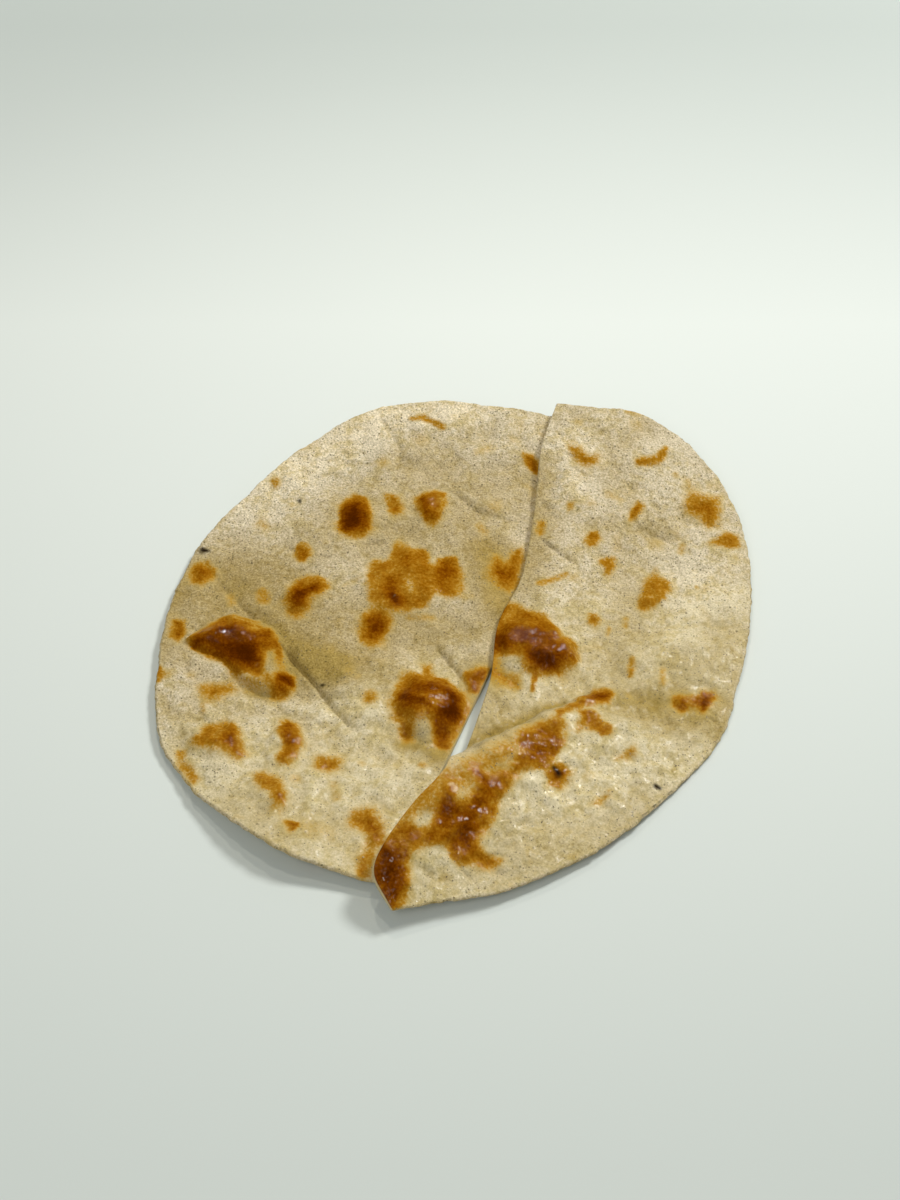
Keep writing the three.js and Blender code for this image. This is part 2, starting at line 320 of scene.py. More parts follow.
            (-6, -33.5),
        ]),
        (0.64, 2.4, [(-10, -40), (-2.8, -40), (-2.8, -46), (-5, -50), (-9.5, -48.5)]),
        (0.46, 2.2, [
            (-25, -31.5), (-18, -33.5), (-13, -36.5), (-13.5, -39.5), (-18, -40.5), (-24.5, -38.5),
        ]),
        (0.48, 1.8, [(-22, -39), (-17.5, -40), (-16.5, -44), (-17, -47.5), (-20, -47.5), (-21.5, -44)]),
    ],
    "at the gap": [
        (0.74, 1.9, [
            (2.5, -18), (6, -16), (10, -15), (9.5, -18), (7, -21.5), (5.5, -25), (4, -24.5), (3, -21.5),
        ]),
    ],
    "drip at the front": [
        (0.45, 2.8, [
            (-37, -78.5), (-33, -77.5), (-30, -78), (-28, -81), (-26.5, -86), (-26.5, -92), (-29, -94),
            (-31, -100), (-31.5, -106), (-34.5, -105), (-34, -99), (-31.5, -94), (-31.5, -88),
            (-34, -85.5), (-37.5, -84.5), (-38.5, -81.5),
        ]),
        (0.68, 2.6, [(-31, -83), (-27.5, -86), (-27.5, -91), (-31, -90)]),
    ],
}
RIGHT_BROWNED = {
    "olive fleck": [
        (0.42, 2.4, [
            (44, 92.5), (48, 91.5), (51, 88), (55.5, 88), (55, 84.5), (51.5, 83), (47, 85), (45.5, 88.5),
        ]),
    ],
    "streak by the rim": [
        (0.42, 1.2, [
            (71, 86.5), (74, 88.5), (79, 89), (81, 91.5), (83.5, 94), (84, 92), (82.5, 88.5), (80, 86),
            (75, 84), (71.5, 84.5),
        ]),
    ],
    "diamond by the rim": [
        (0.3, 2.6, [
            (91.5, 78.5), (94, 74), (98, 72.5), (104, 71), (104.5, 66), (103, 60), (102, 56), (98.5, 55),
            (96, 59), (91.5, 63), (89, 66.5), (90.5, 72),
        ]),
        (0.47, 3.0, [(92, 69), (97, 69.5), (101, 66), (102, 60), (98.5, 57), (95.5, 60.5), (91, 64)]),
    ],
    "tail of the diamond": [
        (0.4, 1.5, [
            (98, 47), (101.5, 50.5), (105, 52), (109, 51.5), (109, 46.5), (106.5, 44.8), (102.5, 45.8),
        ]),
    ],
    "small ones": [
        (0.46, 1.2, [
            (70.5, 67), (72, 65), (70.5, 61.5), (68.5, 58.5), (66.2, 57.5), (66.5, 60.5), (68, 64),
        ]),
        (0.3, 1.2, [(42.5, 66), (45, 65.5), (44.5, 62.5), (42.5, 61.5)]),
        (0.43, 1.3, [(50.5, 52.5), (53.5, 51.5), (54.5, 48), (52.5, 45), (50, 44), (48.8, 47), (49.3, 50)]),
        (0.37, 1.3, [
            (53, 38.5), (56.5, 40.5), (60, 40.5), (59.5, 36), (57.5, 32.5), (55.5, 31.8), (55.5, 35),
            (52.5, 36),
        ]),
        (0.36, 1.4, [(48, 11.5), (51, 12), (52.5, 8.5), (50.5, 5.5), (47.8, 7)]),
    ],
    "leaf": [
        (0.34, 1.4, [
            (75.5, 36), (77, 31.5), (81, 27.5), (80.5, 24), (78, 19.5), (73, 16), (69.5, 14.5),
            (67.5, 16.5), (68, 21), (70, 27.5), (73, 32),
        ]),
        (0.36, 2.4, [(75, 30), (77, 25), (74, 19), (69.5, 16.5), (70, 22), (72.5, 28)]),
    ],
    "right blister": [
        (0.44, 1.6, [
            (15, 15.5), (20, 15), (23, 14), (27, 11.5), (31, 10), (33, 6.5), (35.5, 2), (37, -2.5),
            (40, -2.5), (42.5, -5), (43, -9), (42, -13.5), (39, -15.5), (36, -18), (31, -18.7), (26, -19),
            (22, -18.5), (20, -12), (14, -11.5), (9, -13), (10, -4), (11, 4), (13, 10),
        ]),
        (0.62, 2.4, [
            (11, 2), (16, 1), (20, 2), (25, 1.5), (30, 1.5), (34, -1), (35.5, -5), (40, -7), (41.5, -11),
            (39, -14.5), (34.5, -17), (28, -17), (23.5, -15), (21, -10.5), (16.5, -9.5), (11, -9),
        ]),
        (0.7, 2.0, [(11, -1), (16.5, -1), (17.5, -8.5), (11, -8)]),
        (0.84, 2.0, [(23.5, -11.5), (28, -9.5), (33, -13), (34, -16.5), (28, -16.7), (23.5, -14.8)]),
        (0.34, 2.6, [(9, -11), (15, -12), (16.5, -17), (21.5, -19.5), (21, -24.5), (14, -24.5), (9, -20)]),
    ],
    "drips": [
        (0.58, 1.5, [(77, -28.5), (80, -27.5), (82.5, -29.5), (82, -32.5), (79.5, -34), (77, -32)]),
        (0.66, 1.8, [(81, -29), (86, -29), (86, -32), (81, -32)]),
        (0.8, 1.7, [(85.5, -30), (88, -26.5), (91, -27), (90, -31), (87, -33.5)]),
    ],
    "end of the fold": [
        (0.62, 1.8, [
            (45, -32.5), (46.5, -29), (49, -26.5), (52, -27.5), (53.5, -30), (52, -33.5), (48, -34.5),
            (45.5, -35.5), (41, -38.5), (36, -41.5), (34, -43.5), (34, -42), (39, -38),
        ]),
        (0.78, 1.4, [(48, -30), (53, -29), (52.5, -31.5), (49.5, -32.5)]),
    ],
    "right of the crest": [
        (0.5, 1.5, [
            (41.5, -40.5), (44, -39.5), (47, -41), (49, -43.5), (51.5, -45.5), (51.5, -48.5), (48.5, -49.5),
            (46, -47.5), (42.5, -46.5), (40, -48.5), (40, -46), (41.5, -43),
        ]),
    ],
    "band over the fold": [
        (0.48, 1.6, [
            (34.5, -43.5), (35.5, -47), (34.5, -51), (35, -55), (33, -58), (31.5, -61), (29.5, -65),
            (24, -65.5), (20.5, -67), (17.5, -70.5), (14.5, -75), (12.5, -80), (10.5, -84.5),
            (8.5, -88.5), (5.5, -92), (4.5, -95), (8, -97.5), (12.5, -99), (10, -101), (5, -102),
            (-1, -102), (-4.5, -100), (-4.5, -97), (-8, -96), (-13, -97.5), (-17, -100), (-18.5, -105),
            (-19, -112), (-20, -119), (-27, -119), (-31, -105), (-29, -99), (-24, -93), (-20, -90),
            (-14, -92), (-11, -90), (-9.5, -86), (-8, -82), (-7, -78.5), (-4, -78), (-3, -81.5),
            (0.5, -81.5), (3.5, -78), (5, -75), (4, -72), (3.5, -69.5), (8, -69.5), (12, -69), (16, -66),
            (18.5, -62), (21, -59.5), (18, -57), (19.5, -53.5), (25.5, -48.8), (30.5, -45.2),
        ]),
        (0.28, 2.6, [
            (-29, -88), (-15, -77.8), (-6, -71.3), (4, -64), (12, -58.2), (22, -50.9), (31, -44.4),
            (36, -46), (25.5, -57), (13, -68), (2, -78), (-9, -86), (-20, -94), (-28, -98),
        ]),
        (0.42, 2.2, [(-28, -90), (-17, -80), (-9, -74), (-8, -77), (-15, -84), (-22, -92), (-27, -97)]),
        (0.5, 2.4, [(24, -54), (32, -52), (31, -60), (27, -63.5), (21, -64), (20, -61)]),
        (0.68, 2.6, [
            (6, -72), (12, -71), (11, -76), (8, -81), (5, -86), (4, -92), (5, -97), (1, -99), (-3, -96),
            (-4, -90), (-3, -85), (0, -83.5), (4, -79.5),
        ]),
        (0.76, 2.8, [(-8, -83), (-5, -80), (-3, -85), (-5, -91), (-9, -91)]),
        (0.96, 3.2, [(-28, -98), (-21, -99), (-20, -106), (-21, -113), (-25, -117), (-29, -110)]),
    ],
    "round the scorched spot": [
        (0.54, 2.0, [
            (30, -62.5), (34.5, -62), (37, -64), (35.5, -67.5), (33, -70.5), (29.5, -69.5), (28.5, -66.5),
        ]),
    ],
    "small ones in front": [
        (0.3, 1.5, [(44.5, -75.5), (47, -72.5), (50.5, -70.5), (50.5, -73.5), (47, -76.5)]),
        (0.32, 1.5, [(53.5, -57.5), (57, -54), (60.5, -51.5), (61, -54.5), (57.5, -57.5)]),
    ],
}

# Pale places within the patches, in the same order
LEFT_WINDOWS = [
    (0.6, 1.3, [(-20.5, 26.5), (-17.8, 26.5), (-17.5, 21.5), (-19.8, 21)]),
    (0.95, 1.3, [
        (-71.8, -8.5), (-69, -7.5), (-67.5, -12), (-66.5, -17), (-68.5, -20), (-71.5, -19), (-72.2, -14),
    ]),
    (0.5, 1.2, [(-80.5, 3.2), (-77, 4.6), (-73.5, 3.6), (-75, 2.2), (-79, 1.8)]),
    (0.7, 1.6, [(-15, -42.5), (-11.3, -42.3), (-11, -44.5), (-12.5, -47.5), (-15, -46.5)]),
]
RIGHT_WINDOWS = [
    (0.9, 1.5, [(15.5, -12), (20, -11.5), (21.5, -13.5), (20.5, -17), (17.5, -18), (15.5, -15)]),
    # painted highlight: a pale spot where a glint shows
    (0.4, 1.2, [(16, 7), (17, 10), (19.5, 10.5), (18, 7.5)]),
    (0.7, 1.2, [(-15, -90), (-12.5, -87), (-10.5, -88), (-12, -91)]),
]

# Thin streaks and pale freckles: strength, then the points that a stroke runs through, with half widths
LEFT_STREAKS = [
    (0.3, [(-20, 110, 1.2), (-15, 110.5, 2), (-11, 108.5, 1.4), (-7, 105.5, 1.6)]),
    (0.16, [(-31, 88, 3)]), (0.26, [(-74.5, 79.5, 2), (-74, 77.5, 2.2)]),
    (0.18, [(-79, 58, 3), (-77, 56.5, 2.6)]), (0.2, [(8, 55.5, 2.4), (10, 52.5, 2)]),
    (0.2, [(-88, 22, 2), (-87, 18.5, 2.2)]), (0.28, [(-76, 22.5, 2.4), (-75, 19, 2.6)]),
    (0.18, [(-57.5, -65.3, 2.2)]), (0.24, [(-13.8, -58.3, 1.6)]), (0.16, [(-35, -57.8, 1.8)]),
    (0.16, [(-44.5, -67, 1.8), (-43, -73, 2)]), (0.12, [(-16, 100, 4)]), (0.14, [(14, 65, 4)]),
    (0.1, [(24, 106, 4.5)]), (0.12, [(22, 99, 2.6)]), (0.1, [(-22.5, -58, 4)]),
    (0.14, [(-107, -18, 2.4)]), (0.16, [(-99, -18, 2)]), (0.24, [(-109, -18, 2.2)]),
    (0.3, [(-33, -29.5, 3)]), (0.18, [(-20, 10.5, 1.6), (-11, 10, 2)]),
    (0.18, [(-93.5, -31, 1.4), (-92.5, -35, 1.4)]), (0.4, [(-111.5, -15, 1.6), (-111, -20, 1.6)]),
    (0.1, [(-46, 6, 3)]), (0.1, [(-48, -6, 3)]), (0.08, [(9, 46, 6), (17, 32, 9), (13, 20, 6)]),
    (0.12, [(-52, -86, 5), (-46, -88, 4)]), (0.28, [(-85, 9, 1.6), (-77, 7.5, 1.8)]),
]
RIGHT_STREAKS = [
    (0.26, [(30.5, 25, 1.8), (34, 26.5, 1.6), (38, 28.5, 1.8), (40.5, 30.5, 1)]), (0.2, [(54, 37.5, 1.4)]),
    (0.28, [(32, 56, 2), (31.5, 52.5, 2.2)]), (0.22, [(62.5, 10.5, 1.4), (62, 7.5, 1.4)]),
    (0.2, [(55.8, 5.5, 1), (54.8, 2, 1)]), (0.18, [(87, 46.5, 1.6), (86, 43.5, 1.6)]),
    (0.2, [(90.8, 25.7, 1.1)]), (0.1, [(103.3, 33.7, 2.4)]), (0.18, [(69, 111, 1.6), (73, 110, 1.8)]),
    (0.12, [(72, 105, 4)]), (0.12, [(77, 48, 4)]), (0.12, [(85, 53, 2)]), (0.2, [(86.7, 81.2, 1.6)]),
    (0.1, [(50, 79, 3.5)]), (0.14, [(52, 65, 2.4)]), (0.12, [(94, 25, 2)]),
    (0.4, [(27, -18.5, 1.2), (25.8, -25.5, 1)]),
    (0.26, [(63, -11.5, 1.4), (62.5, -15, 1.8), (62, -18.5, 1.2)]),
    (0.2, [(74, -16, 1.4), (73.5, -22, 1.6)]), (0.18, [(11, -65, 1.2), (17, -60, 1)]),
    (0.14, [(-2, -68, 1.6), (8, -64, 1.4)]),
]

# Ghee that still lies wet and catches the light, as strokes in the same order
LEFT_WET = [
    (1.0, [(-10.5, 71, 1.8), (-10, 66, 2.2)]), (0.45, [(-26, 22, 1.6), (-24, 14, 2.2)]),
    (1.0, [(-97, 0, 2.5), (-88, 1, 5), (-78, 0, 4)]), (0.7, [(-75, -14.5, 2)]),
    (1.0, [(-22, -27, 1.8), (-16, -30, 2.4), (-9, -33, 4)]), (0.6, [(-8, 21, 2)]),
    (0.6, [(-91, -49.5, 2.4), (-85, -48, 2)]), (0.6, [(-67, -42, 1.6), (-62, -46, 2)]),
    (0.9, [(-52, -75, 4), (-51, -64, 3)]), (0.8, [(-35, -83, 3), (-29, -90, 2.4)]), (0.6, [(-68, -50, 3)]),
    (0.6, [(-48, -57, 1.4)]), (0.5, [(-15, -52, 5), (-24, -46, 4)]), (0.5, [(-41, -43, 4)]),
]
RIGHT_WET = [
    (1.0, [(31, -6, 5), (40, -10, 4)]), (0.9, [(20, -3, 4), (26, -5, 6)]),
    (1.0, [(1, -84, 2.4), (0, -90, 3)]), (0.8, [(76, -12, 6), (82, -20, 5)]),
    (0.75, [(27, -74, 1.6), (42, -68, 2)]), (0.7, [(-24, -104, 2.4)]), (0.6, [(24, -60, 3)]),
    (0.4, [(37, 4, 2)]),
]

# Pale freckles strewn over the skin, where browning only begins: how many on a half, strength and half width
FRECKLES = 70
FRECKLE_STRENGTH = (0.04, 0.14)
FRECKLE_HALF_WIDTH = (0.9, 2.8)
FRECKLE_TAPER = 0.7

# Painted shade, with thinner damp dough greyer than the rest: darker in hollows and creases, beside the
# right half's lap, at the great blister's foot and near the front rim; strength, then points with their half
# widths
LEFT_SHADE_AND_THIN = [
    (0.66, [(-108, 32, 14), (-90, 16, 20), (-76, 8, 16)]),
    (0.55, [(-112, 16, 10), (-111, -6, 9)]),
    # painted shade near the front rim
    (0.25, [(-78, -78, 8), (-58, -91, 8)]),
    (0.6, [(-86, 36, 14), (-70, 26, 16), (-58, 10, 14)]),
    (0.95, [(-72, -1, 11), (-60, -10, 13), (-46, -15, 12)]),
    (0.45, [(-50, -4, 15), (-36, -1, 15), (-28, -22, 8)]),
    (0.4, [(-50, 68, 16), (-28, 62, 20), (-4, 66, 22), (18, 72, 18)]),
    (0.4, [(-56, 46, 14), (-30, 50, 16), (0, 50, 16)]),
    # painted shadow beside the right half's lap, along its cut
    (0.85, [(11, 42, 10), (14, 30, 13), (17, 14, 11)]),
    (0.5, [(-44, 12, 12), (-22, 6, 13), (8, 4, 11)]),
    (0.75, [(8, -16, 8), (3, -34, 8), (-7, -52, 8)]),
    (0.3, [(-24, 88, 13), (-6, 86, 10)]),
    (0.3, [(-104, -8, 6), (-97, -13, 5)]),
    (0.8, [(-21, -48.5, 3.5), (-12, -51, 3.5)]),
    (0.2, [(-62, -70, 10)]),
    # painted shadow line at the foot of the great blister
    (0.7, [(-78, -24.5, 1.5), (-71.4, -27.3, 1.8), (-65.8, -27.9, 1.5)]),
]
# Painted shade on the right half, with thinner damp dough, in the same manner
RIGHT_SHADE_AND_THIN = [
    (0.35, [(66, 18, 8), (60, 4, 9), (57, -14, 9)]),
    (0.75, [(56, -32, 8), (73, -32, 11), (90, -36, 11)]),
    (0.5, [(32, 84, 7), (30, 68, 8), (28, 46, 9), (24, 24, 8)]),
    (0.5, [(13, -22, 6), (11, -34, 6), (5, -48, 6)]),
    (0.9, [(11, -14, 4), (14, -21, 4), (19, -23, 3)]),
    (0.4, [(100, 2, 9), (96, -16, 10), (76, -14, 8)]),
    # painted shade near the front rim
    (0.35, [(24, -98, 10), (46, -90, 10), (66, -74, 8)]),
    (0.25, [(56, 52, 9), (76, 54, 10)]),
    (0.4, [(32, -36, 7), (20, -44, 8), (8, -56, 6)]),
    # painted shadow line behind the fold's crest
    (0.75, [(3, -49, 2.5), (10.3, -44.8, 3), (19.2, -39.9, 3), (28, -35.1, 2.6), (37, -30.6, 2)]),
]

# Painted light: paler dough where more light falls, in the same order
LEFT_PAINTED_LIGHT = [
    (0.5, [(-88, 74, 12), (-66, 85, 17), (-48, 97, 15), (-30, 112, 11), (4, 117, 9)]),
    (0.25, [(-42, -31, 8)]),
]
RIGHT_PAINTED_LIGHT = [
    (0.15, [(88, 12, 14), (94, 26, 12)]), (0.25, [(44, 92, 9), (46, 70, 10)]), (0.2, [(100, 72, 9)]),
    (0.3, [(22, -74, 7), (42, -72, 9)]),
]

# Scorched specks: points with their half widths
LEFT_SCORCHED = [
    [(-64, 69.3, 0.7), (-63.8, 68.4, 0.5)],
    [(-50.6, -22.5, 0.7), (-50, -22.3, 0.5)],
    [(-101, 46.2, 0.6), (-100.6, 45, 1.6), (-98.6, 44.4, 0.9)],
]
RIGHT_SCORCHED = [
    [(31.2, -64, 0.8), (32.8, -65.6, 1.2)],
    [(67.3, -67.3, 0.9), (68.6, -67.8, 0.7)],
]

# Low bubbles all over the skin: how many on a half, half width, and height for their width
BUBBLES = 150
BUBBLE_HALF_WIDTH = (2.0, 6.5)
BUBBLE_STEEPNESS = (0.05, 0.14)
BUBBLE_LENGTH = (1.0, 1.7)

# Fineness of each sheet: cells along the cut and from the cut to the rim, and rows round the edge
ALONG = 392
ACROSS = 188
EDGE_ROWS = 3
RIM_SHARE = 0.27
SLOPE_STEP = 0.5
RIM_STEPS = 2401
CUT_STEPS = 1201
MARGIN_STEPS = 700
STRETCH_STEPS = 60

# Camera of the picture: what it looks at, how far from it and how high, and where that lands in the picture
PICTURE_HIGH = 1200
AIM = (-4, -5, 0)
AIM_BELOW_MIDDLE = 55
CAMERA_AWAY = 622
CAMERA_UP_DEG = 50
LENS = 50
SENSOR = 36

# Light of the room, as it falls on things, as glossy things mirror it and as it shows past the floor's end
ROOM_LIGHT = 0.26
ROOM_MIRRORED = 0.0
ROOM_SHOWN = 0.74
SOFT_BOX_SPREAD_DEG = 80

# Floor in metres: half its side, the span of its painted shade, which darkens it towards the front and the
# back, and the ring where it takes to glowing by itself
FLOOR_SIDE = 6.0
FLOOR_PAINTED_SHADE = {"start": -0.2, "end": 0.45}
GLOW_RING = {"start": 0.38, "end": 1.05}
FAR_GLOW = 0.75

# Unevenness as layers of soft random lumps: how high or strong each layer is, and the size of its lumps
MARGIN_WANDER = [(0.8, 7), (0.45, 3.2), (0.1, 1.7)]
UNEVEN_BROWN = [(0.1, 6), (0.08, 2.4)]
BROWN_WRINKLES = [(0.25, 2.8), (0.12, 1.5)]
BROAD_ROLL = [(1.2, 38), (1.0, 18)]
FINE_ROLL = [(0.65, 8), (0.3, 3.6)]
RIM_BITES = [(0.6, 16), (0.25, 3.8), (0.2, 1.6)]
RIM_BITES_FADE = 0.03

# Unevenness of a swell's foot, and the size of its lumps
BLISTER_UNEVEN = 0.08
PUFF_UNEVEN = 0.1
FOOT_LUMP = 9

# Short random wrinkles, how browning lifts and wrinkles the skin, and how a crease fades and lifts its side
WRINKLES = {"spacing": 13, "half width": 0.07, "depth": 0.5}
WRINKLED_AREA = {"start": 0.0, "end": 0.6, "lump": 24}
BROWN_RISE = {"start": 0.1, "end": 0.9, "high": 0.25}
BROWN_WRINKLED = {"start": 0.35, "end": 0.75, "depth": 2}
CREASE_FADE = 0.25
CREASE_LIP = 3

# A patch's margin, as a core and a wider halo: share of the strength, depth where it starts and is whole
PATCH_MARGIN = [(0.72, -1.3, 1.8), (0.28, -3.2, 0.6)]
PATCH_FIRMNESS = {"change": 0.5, "lump": 9}
PATCH_WANDERS_FROM_SOFT = 1.5
UNEVEN_BROWN_SHOWS = {"start": 0.1, "end": 0.5}

# A stroke's softest margin, also as a share of its half width, and the half width that wanders in full
STROKE_SOFT = 3.2
PAINTED_LIGHT_SHADE_SOFT = 14
STROKE_SOFT_SHARE = 0.95
STROKE_WANDERS_FROM_WIDTH = 4

# Powers by which patches or strokes that overlap give way to the strongest
PATCH_POWER = 4
STROKE_POWER = 3

# Painted shade with damp dough in the hollows of the relief: the heights where they start and are whole, and
# how dark they are, alone and in thinner dough
HOLLOW_SHADE_AND_DAMP = {"start": 0.6, "end": -1.2, "alone": 0.3, "in thin dough": 0.15}

# The front of the bread, where the skin is livelier and ghee was brushed on up to a wandering margin
FRONT = {"start": 25, "end": -45}
FRONT_LIVELIER = 0.8
GHEE_BRUSHED = 0.6
GHEE_MARGIN = {"slant": 0.35, "wander": 14, "lump": 22}

# Where the relief starts beside the rim and the cut, and the share of the dough that a hollow may take
RELIEF_FROM_RIM = -2
RELIEF_FROM_CUT = {"start": -3, "end": 5}
DEEPEST_HOLLOW = 0.6

# Unevenness of the table side and the brown marks on it, and how brown, damp and uneven the edge is
TABLE_SIDE = {"rise": 0.25, "lump": 12}
TABLE_SIDE_BROWN = {"strength": 0.5, "start": 0.35, "end": 0.75, "lump": 14}
EDGE_BROWN = 0.6
EDGE_HOLLOW = 0.3
EDGE_UNEVEN = {"change": 0.5, "lump": 4}

# Bran flakes: number on a square metre, length, width and thickness as shares, and the skin they lie on
BRAN_PER_SQUARE_METRE = 1.8e5
BRAN_LENGTH = (0.25, 0.7)
BRAN_WIDTH = (0.4, 1.0)
BRAN_FLATNESS = 0.3
BRAN_FACES_UP = 0.3
BRAN_UP_TO_BROWN = 0.25
FULL_TURN = 6.283

# Sizes of the crust's patterns
BLOTCH = 10
MOTTLE = 2.6
GRAIN = 0.8
SPECK_SPACING = 1.5
BROWN_DRIFT = 1.0
FILM_PATCH = 6
FILM_RIPPLE = 1.0

# What the grain of the flour does to the dough's red, green and blue, at its darkest and at its palest
GRAIN_DARKEST = (0.5, 0.46, 0.32, 1)
GRAIN_PALEST = (1.5, 1.54, 1.68, 1)

# Soft boxes: place and aim in metres, width, watts and tint
SOFT_BOXES = {
    "key": ((1.0, 0.85, 1.3), (0, 0.05, 0), 0.42, 4.1, "#ffffff"),
    "fill": ((-0.4, -0.9, 1.3), (0, 0, 0), 1.0, 1.5, "#ffffff"),
    "back glint": ((-0.1, 0.85, 1.1), (0, 0.2, 0), 0.05, 0.5, "#fff6e8"),
    "top glint": ((0.1, 0.3, 1.35), (0, 0, 0), 0.05, 0.34, "#fff6e8"),
}


# How the bread lies


def eased(start, end, value):
    """Eased change from 0 at one value to 1 at another, in either direction"""
    share = np.clip((value - start) / (end - start), 0, 1)
    return share * share * (3 - 2 * share)


def curl(past, margin):
    """Rise of a margin that leaves the table smoothly and ends at its slope"""
    past = np.maximum(past, 0)
    run = margin["run"]
    ramp = np.where(past < run, past * past / (2 * run), past - run / 2)
    return math.tan(math.radians(margin["deg"])) * ramp


def lie(x, y):
    """Height of the table side of either half, before the right half's lap and fold"""
    fade = eased(FRONT_CURL_FADES["start"], FRONT_CURL_FADES["end"], x)
    front = curl(-y - FRONT_CURL["start"], FRONT_CURL) * (1 - (1 - FRONT_CURL_FADES["left"]) * fade)
    back = curl(y - BACK_CURL["start"], BACK_CURL)
    side = curl(np.abs(x) - SIDE_CURL["start"], SIDE_CURL)
    return back + front + side


def past_left_cut(x, y):
    """Distance to the right of the left half's cut, negative over the left half"""
    (back_x, back_y), (front_x, front_y) = LEFT_CUT
    length = math.hypot(front_x - back_x, front_y - back_y)
    return ((x - back_x) * (back_y - front_y) + (y - back_y) * (front_x - back_x)) / length


def lap(x, y):
    settled = eased(0, LAP_SETTLES, past_left_cut(x, y))
    return LAP_LIFT * (1 - settled) * eased(LAP_FRONT["start"], LAP_FRONT["end"], y)


def fall(distance, reach):
    """A half wave that falls from 1 to 0 at the given reach"""
    return 0.5 * (1 + np.cos(np.pi * np.minimum(distance / reach, 1)))


def fold(x, y):
    """Ridge at the front of the right half: steep behind its crest, crisp and then long in front of it"""
    turn = math.radians(RIDGE["turn"])
    along = (x - RIDGE["x"]) * math.cos(turn) + (y - RIDGE["y"]) * math.sin(turn)
    ahead = (x - RIDGE["x"]) * math.sin(turn) - (y - RIDGE["y"]) * math.cos(turn)
    thinned = np.maximum(0, 1 - np.maximum(0, along) / RIDGE_THINS_OVER)
    run_out = 1 - eased(RIDGE_RUNS_OUT["start"], RIDGE_RUNS_OUT["end"], along)
    droop = 1 - (1 - RIDGE_DROOPS["left"]) * eased(RIDGE_DROOPS["start"], RIDGE_DROOPS["end"], along)
    behind = fall(np.abs(ahead), RIDGE["back"] * (RIDGE_BACK_LEFT + (1 - RIDGE_BACK_LEFT) * thinned))
    before = np.hypot(np.maximum(ahead, 0), CREST_ROUND) - CREST_ROUND
    crisp = np.maximum(0, 1 - before / CREST_REACH) ** CREST_FALL
    in_front = (1 - CREST_SHARE) * fall(np.abs(ahead), RIDGE["front"]) + CREST_SHARE * crisp
    section = np.where(ahead < 0, behind, in_front)
    return RIDGE["high"] * thinned * run_out * droop * section


def right_lie(x, y):
    return lie(x, y) + lap(x, y) + fold(x, y)


# Lumps, lines, strokes and outlines in plan


def cloud(x, y, size, seed):
    """Soft random lumps of the given size, between about -1 and 1"""
    lattice = 256
    turn = np.random.default_rng(seed).uniform(0, 2 * np.pi, (lattice, lattice))
    column, row = np.floor(x / size).astype(int), np.floor(y / size).astype(int)
    u, v = x / size - column, y / size - row

    def corner(right, up):
        angle = turn[(column + right) % lattice, (row + up) % lattice]
        return np.cos(angle) * (u - right) + np.sin(angle) * (v - up)

    across, along = (t**3 * (t * (6 * t - 15) + 10) for t in (u, v))
    low = corner(0, 0) * (1 - across) + corner(1, 0) * across
    high = corner(0, 1) * (1 - across) + corner(1, 1) * across
    return 1.5 * (low * (1 - along) + high * along)


def clouds(layers, x, y, seed):
    return sum(high * cloud(x, y, size, seed + k) for k, (high, size) in enumerate(layers))


def in_oval(x, y, at_x, at_y, long, wide, turn):
    """Places in an oval's own axes, each 1 where the oval ends"""
    u = ((x - at_x) * math.cos(turn) + (y - at_y) * math.sin(turn)) / long
    v = ((y - at_y) * math.cos(turn) - (x - at_x) * math.sin(turn)) / wide
    return u, v


def from_line(x, y, points):
    """Distance to a line through points, its share along the line, and its side: 1 on the left of the way"""
    best = np.full(x.shape, np.inf)
    share = np.zeros_like(x)
    side = np.ones_like(x)
    for k, ((ax, ay), (bx, by)) in enumerate(zip(points, points[1:])):
        dx, dy = bx - ax, by - ay
        along = np.clip(((x - ax) * dx + (y - ay) * dy) / (dx * dx + dy * dy), 0, 1)
        away = np.hypot(x - ax - along * dx, y - ay - along * dy)
        nearer = away < best
        best = np.where(nearer, away, best)
        share = np.where(nearer, (k + along) / (len(points) - 1), share)
        side = np.where(nearer, np.sign(dx * (y - ay) - dy * (x - ax)), side)
    return best, share, side


def inside_stroke(x, y, points):
    """How deep each place lies inside a stroke of changing width, and the half width there"""
    deepest = np.full(x.shape, -np.inf)
    width = np.ones_like(x)
    for (ax, ay, a_wide), (bx, by, b_wide) in zip(points, points[1:] or points):
        dx, dy = bx - ax, by - ay
        run = max(dx * dx + dy * dy, 1e-6)
        along = np.clip(((x - ax) * dx + (y - ay) * dy) / run, 0, 1)
        wide = a_wide + (b_wide - a_wide) * along
        depth = wide - np.hypot(x - ax - along * dx, y - ay - along * dy)
        width = np.where(depth > deepest, wide, width)
        deepest = np.maximum(deepest, depth)
    return deepest, width


def inside_outline(x, y, outline):
    """How deep each place lies inside a closed outline, less than nought outside it"""
    closed = outline + outline[:1]
    within = np.zeros(x.shape, bool)
    for (ax, ay), (bx, by) in zip(closed, closed[1:]):
        crosses = (ay > y) != (by > y)
        within ^= crosses & (x < ax + (bx - ax) * (y - ay) / (by - ay if by != ay else 1))
    away = from_line(x, y, closed)[0]
    return np.where(within, away, -away)


# Browning and the other marks on the skin


def patched(rows, x, y, seed):
    """Strength of outlined patches: half at the traced margin, which wanders and is here soft, there firm"""
    total = np.zeros_like(x)
    wander = clouds(MARGIN_WANDER, x, y, seed)
    firm = 1 + PATCH_FIRMNESS["change"] * cloud(x, y, PATCH_FIRMNESS["lump"], seed + 3)
    for strength, soft, outline in rows:
        wanders = min(1, soft / PATCH_WANDERS_FROM_SOFT)
        depth = (inside_outline(x, y, outline) + wander * wanders) / (soft * firm)
        cover = sum(share * eased(start, whole, depth) for share, start, whole in PATCH_MARGIN)
        total += (strength * cover) ** PATCH_POWER
    return total ** (1 / PATCH_POWER)


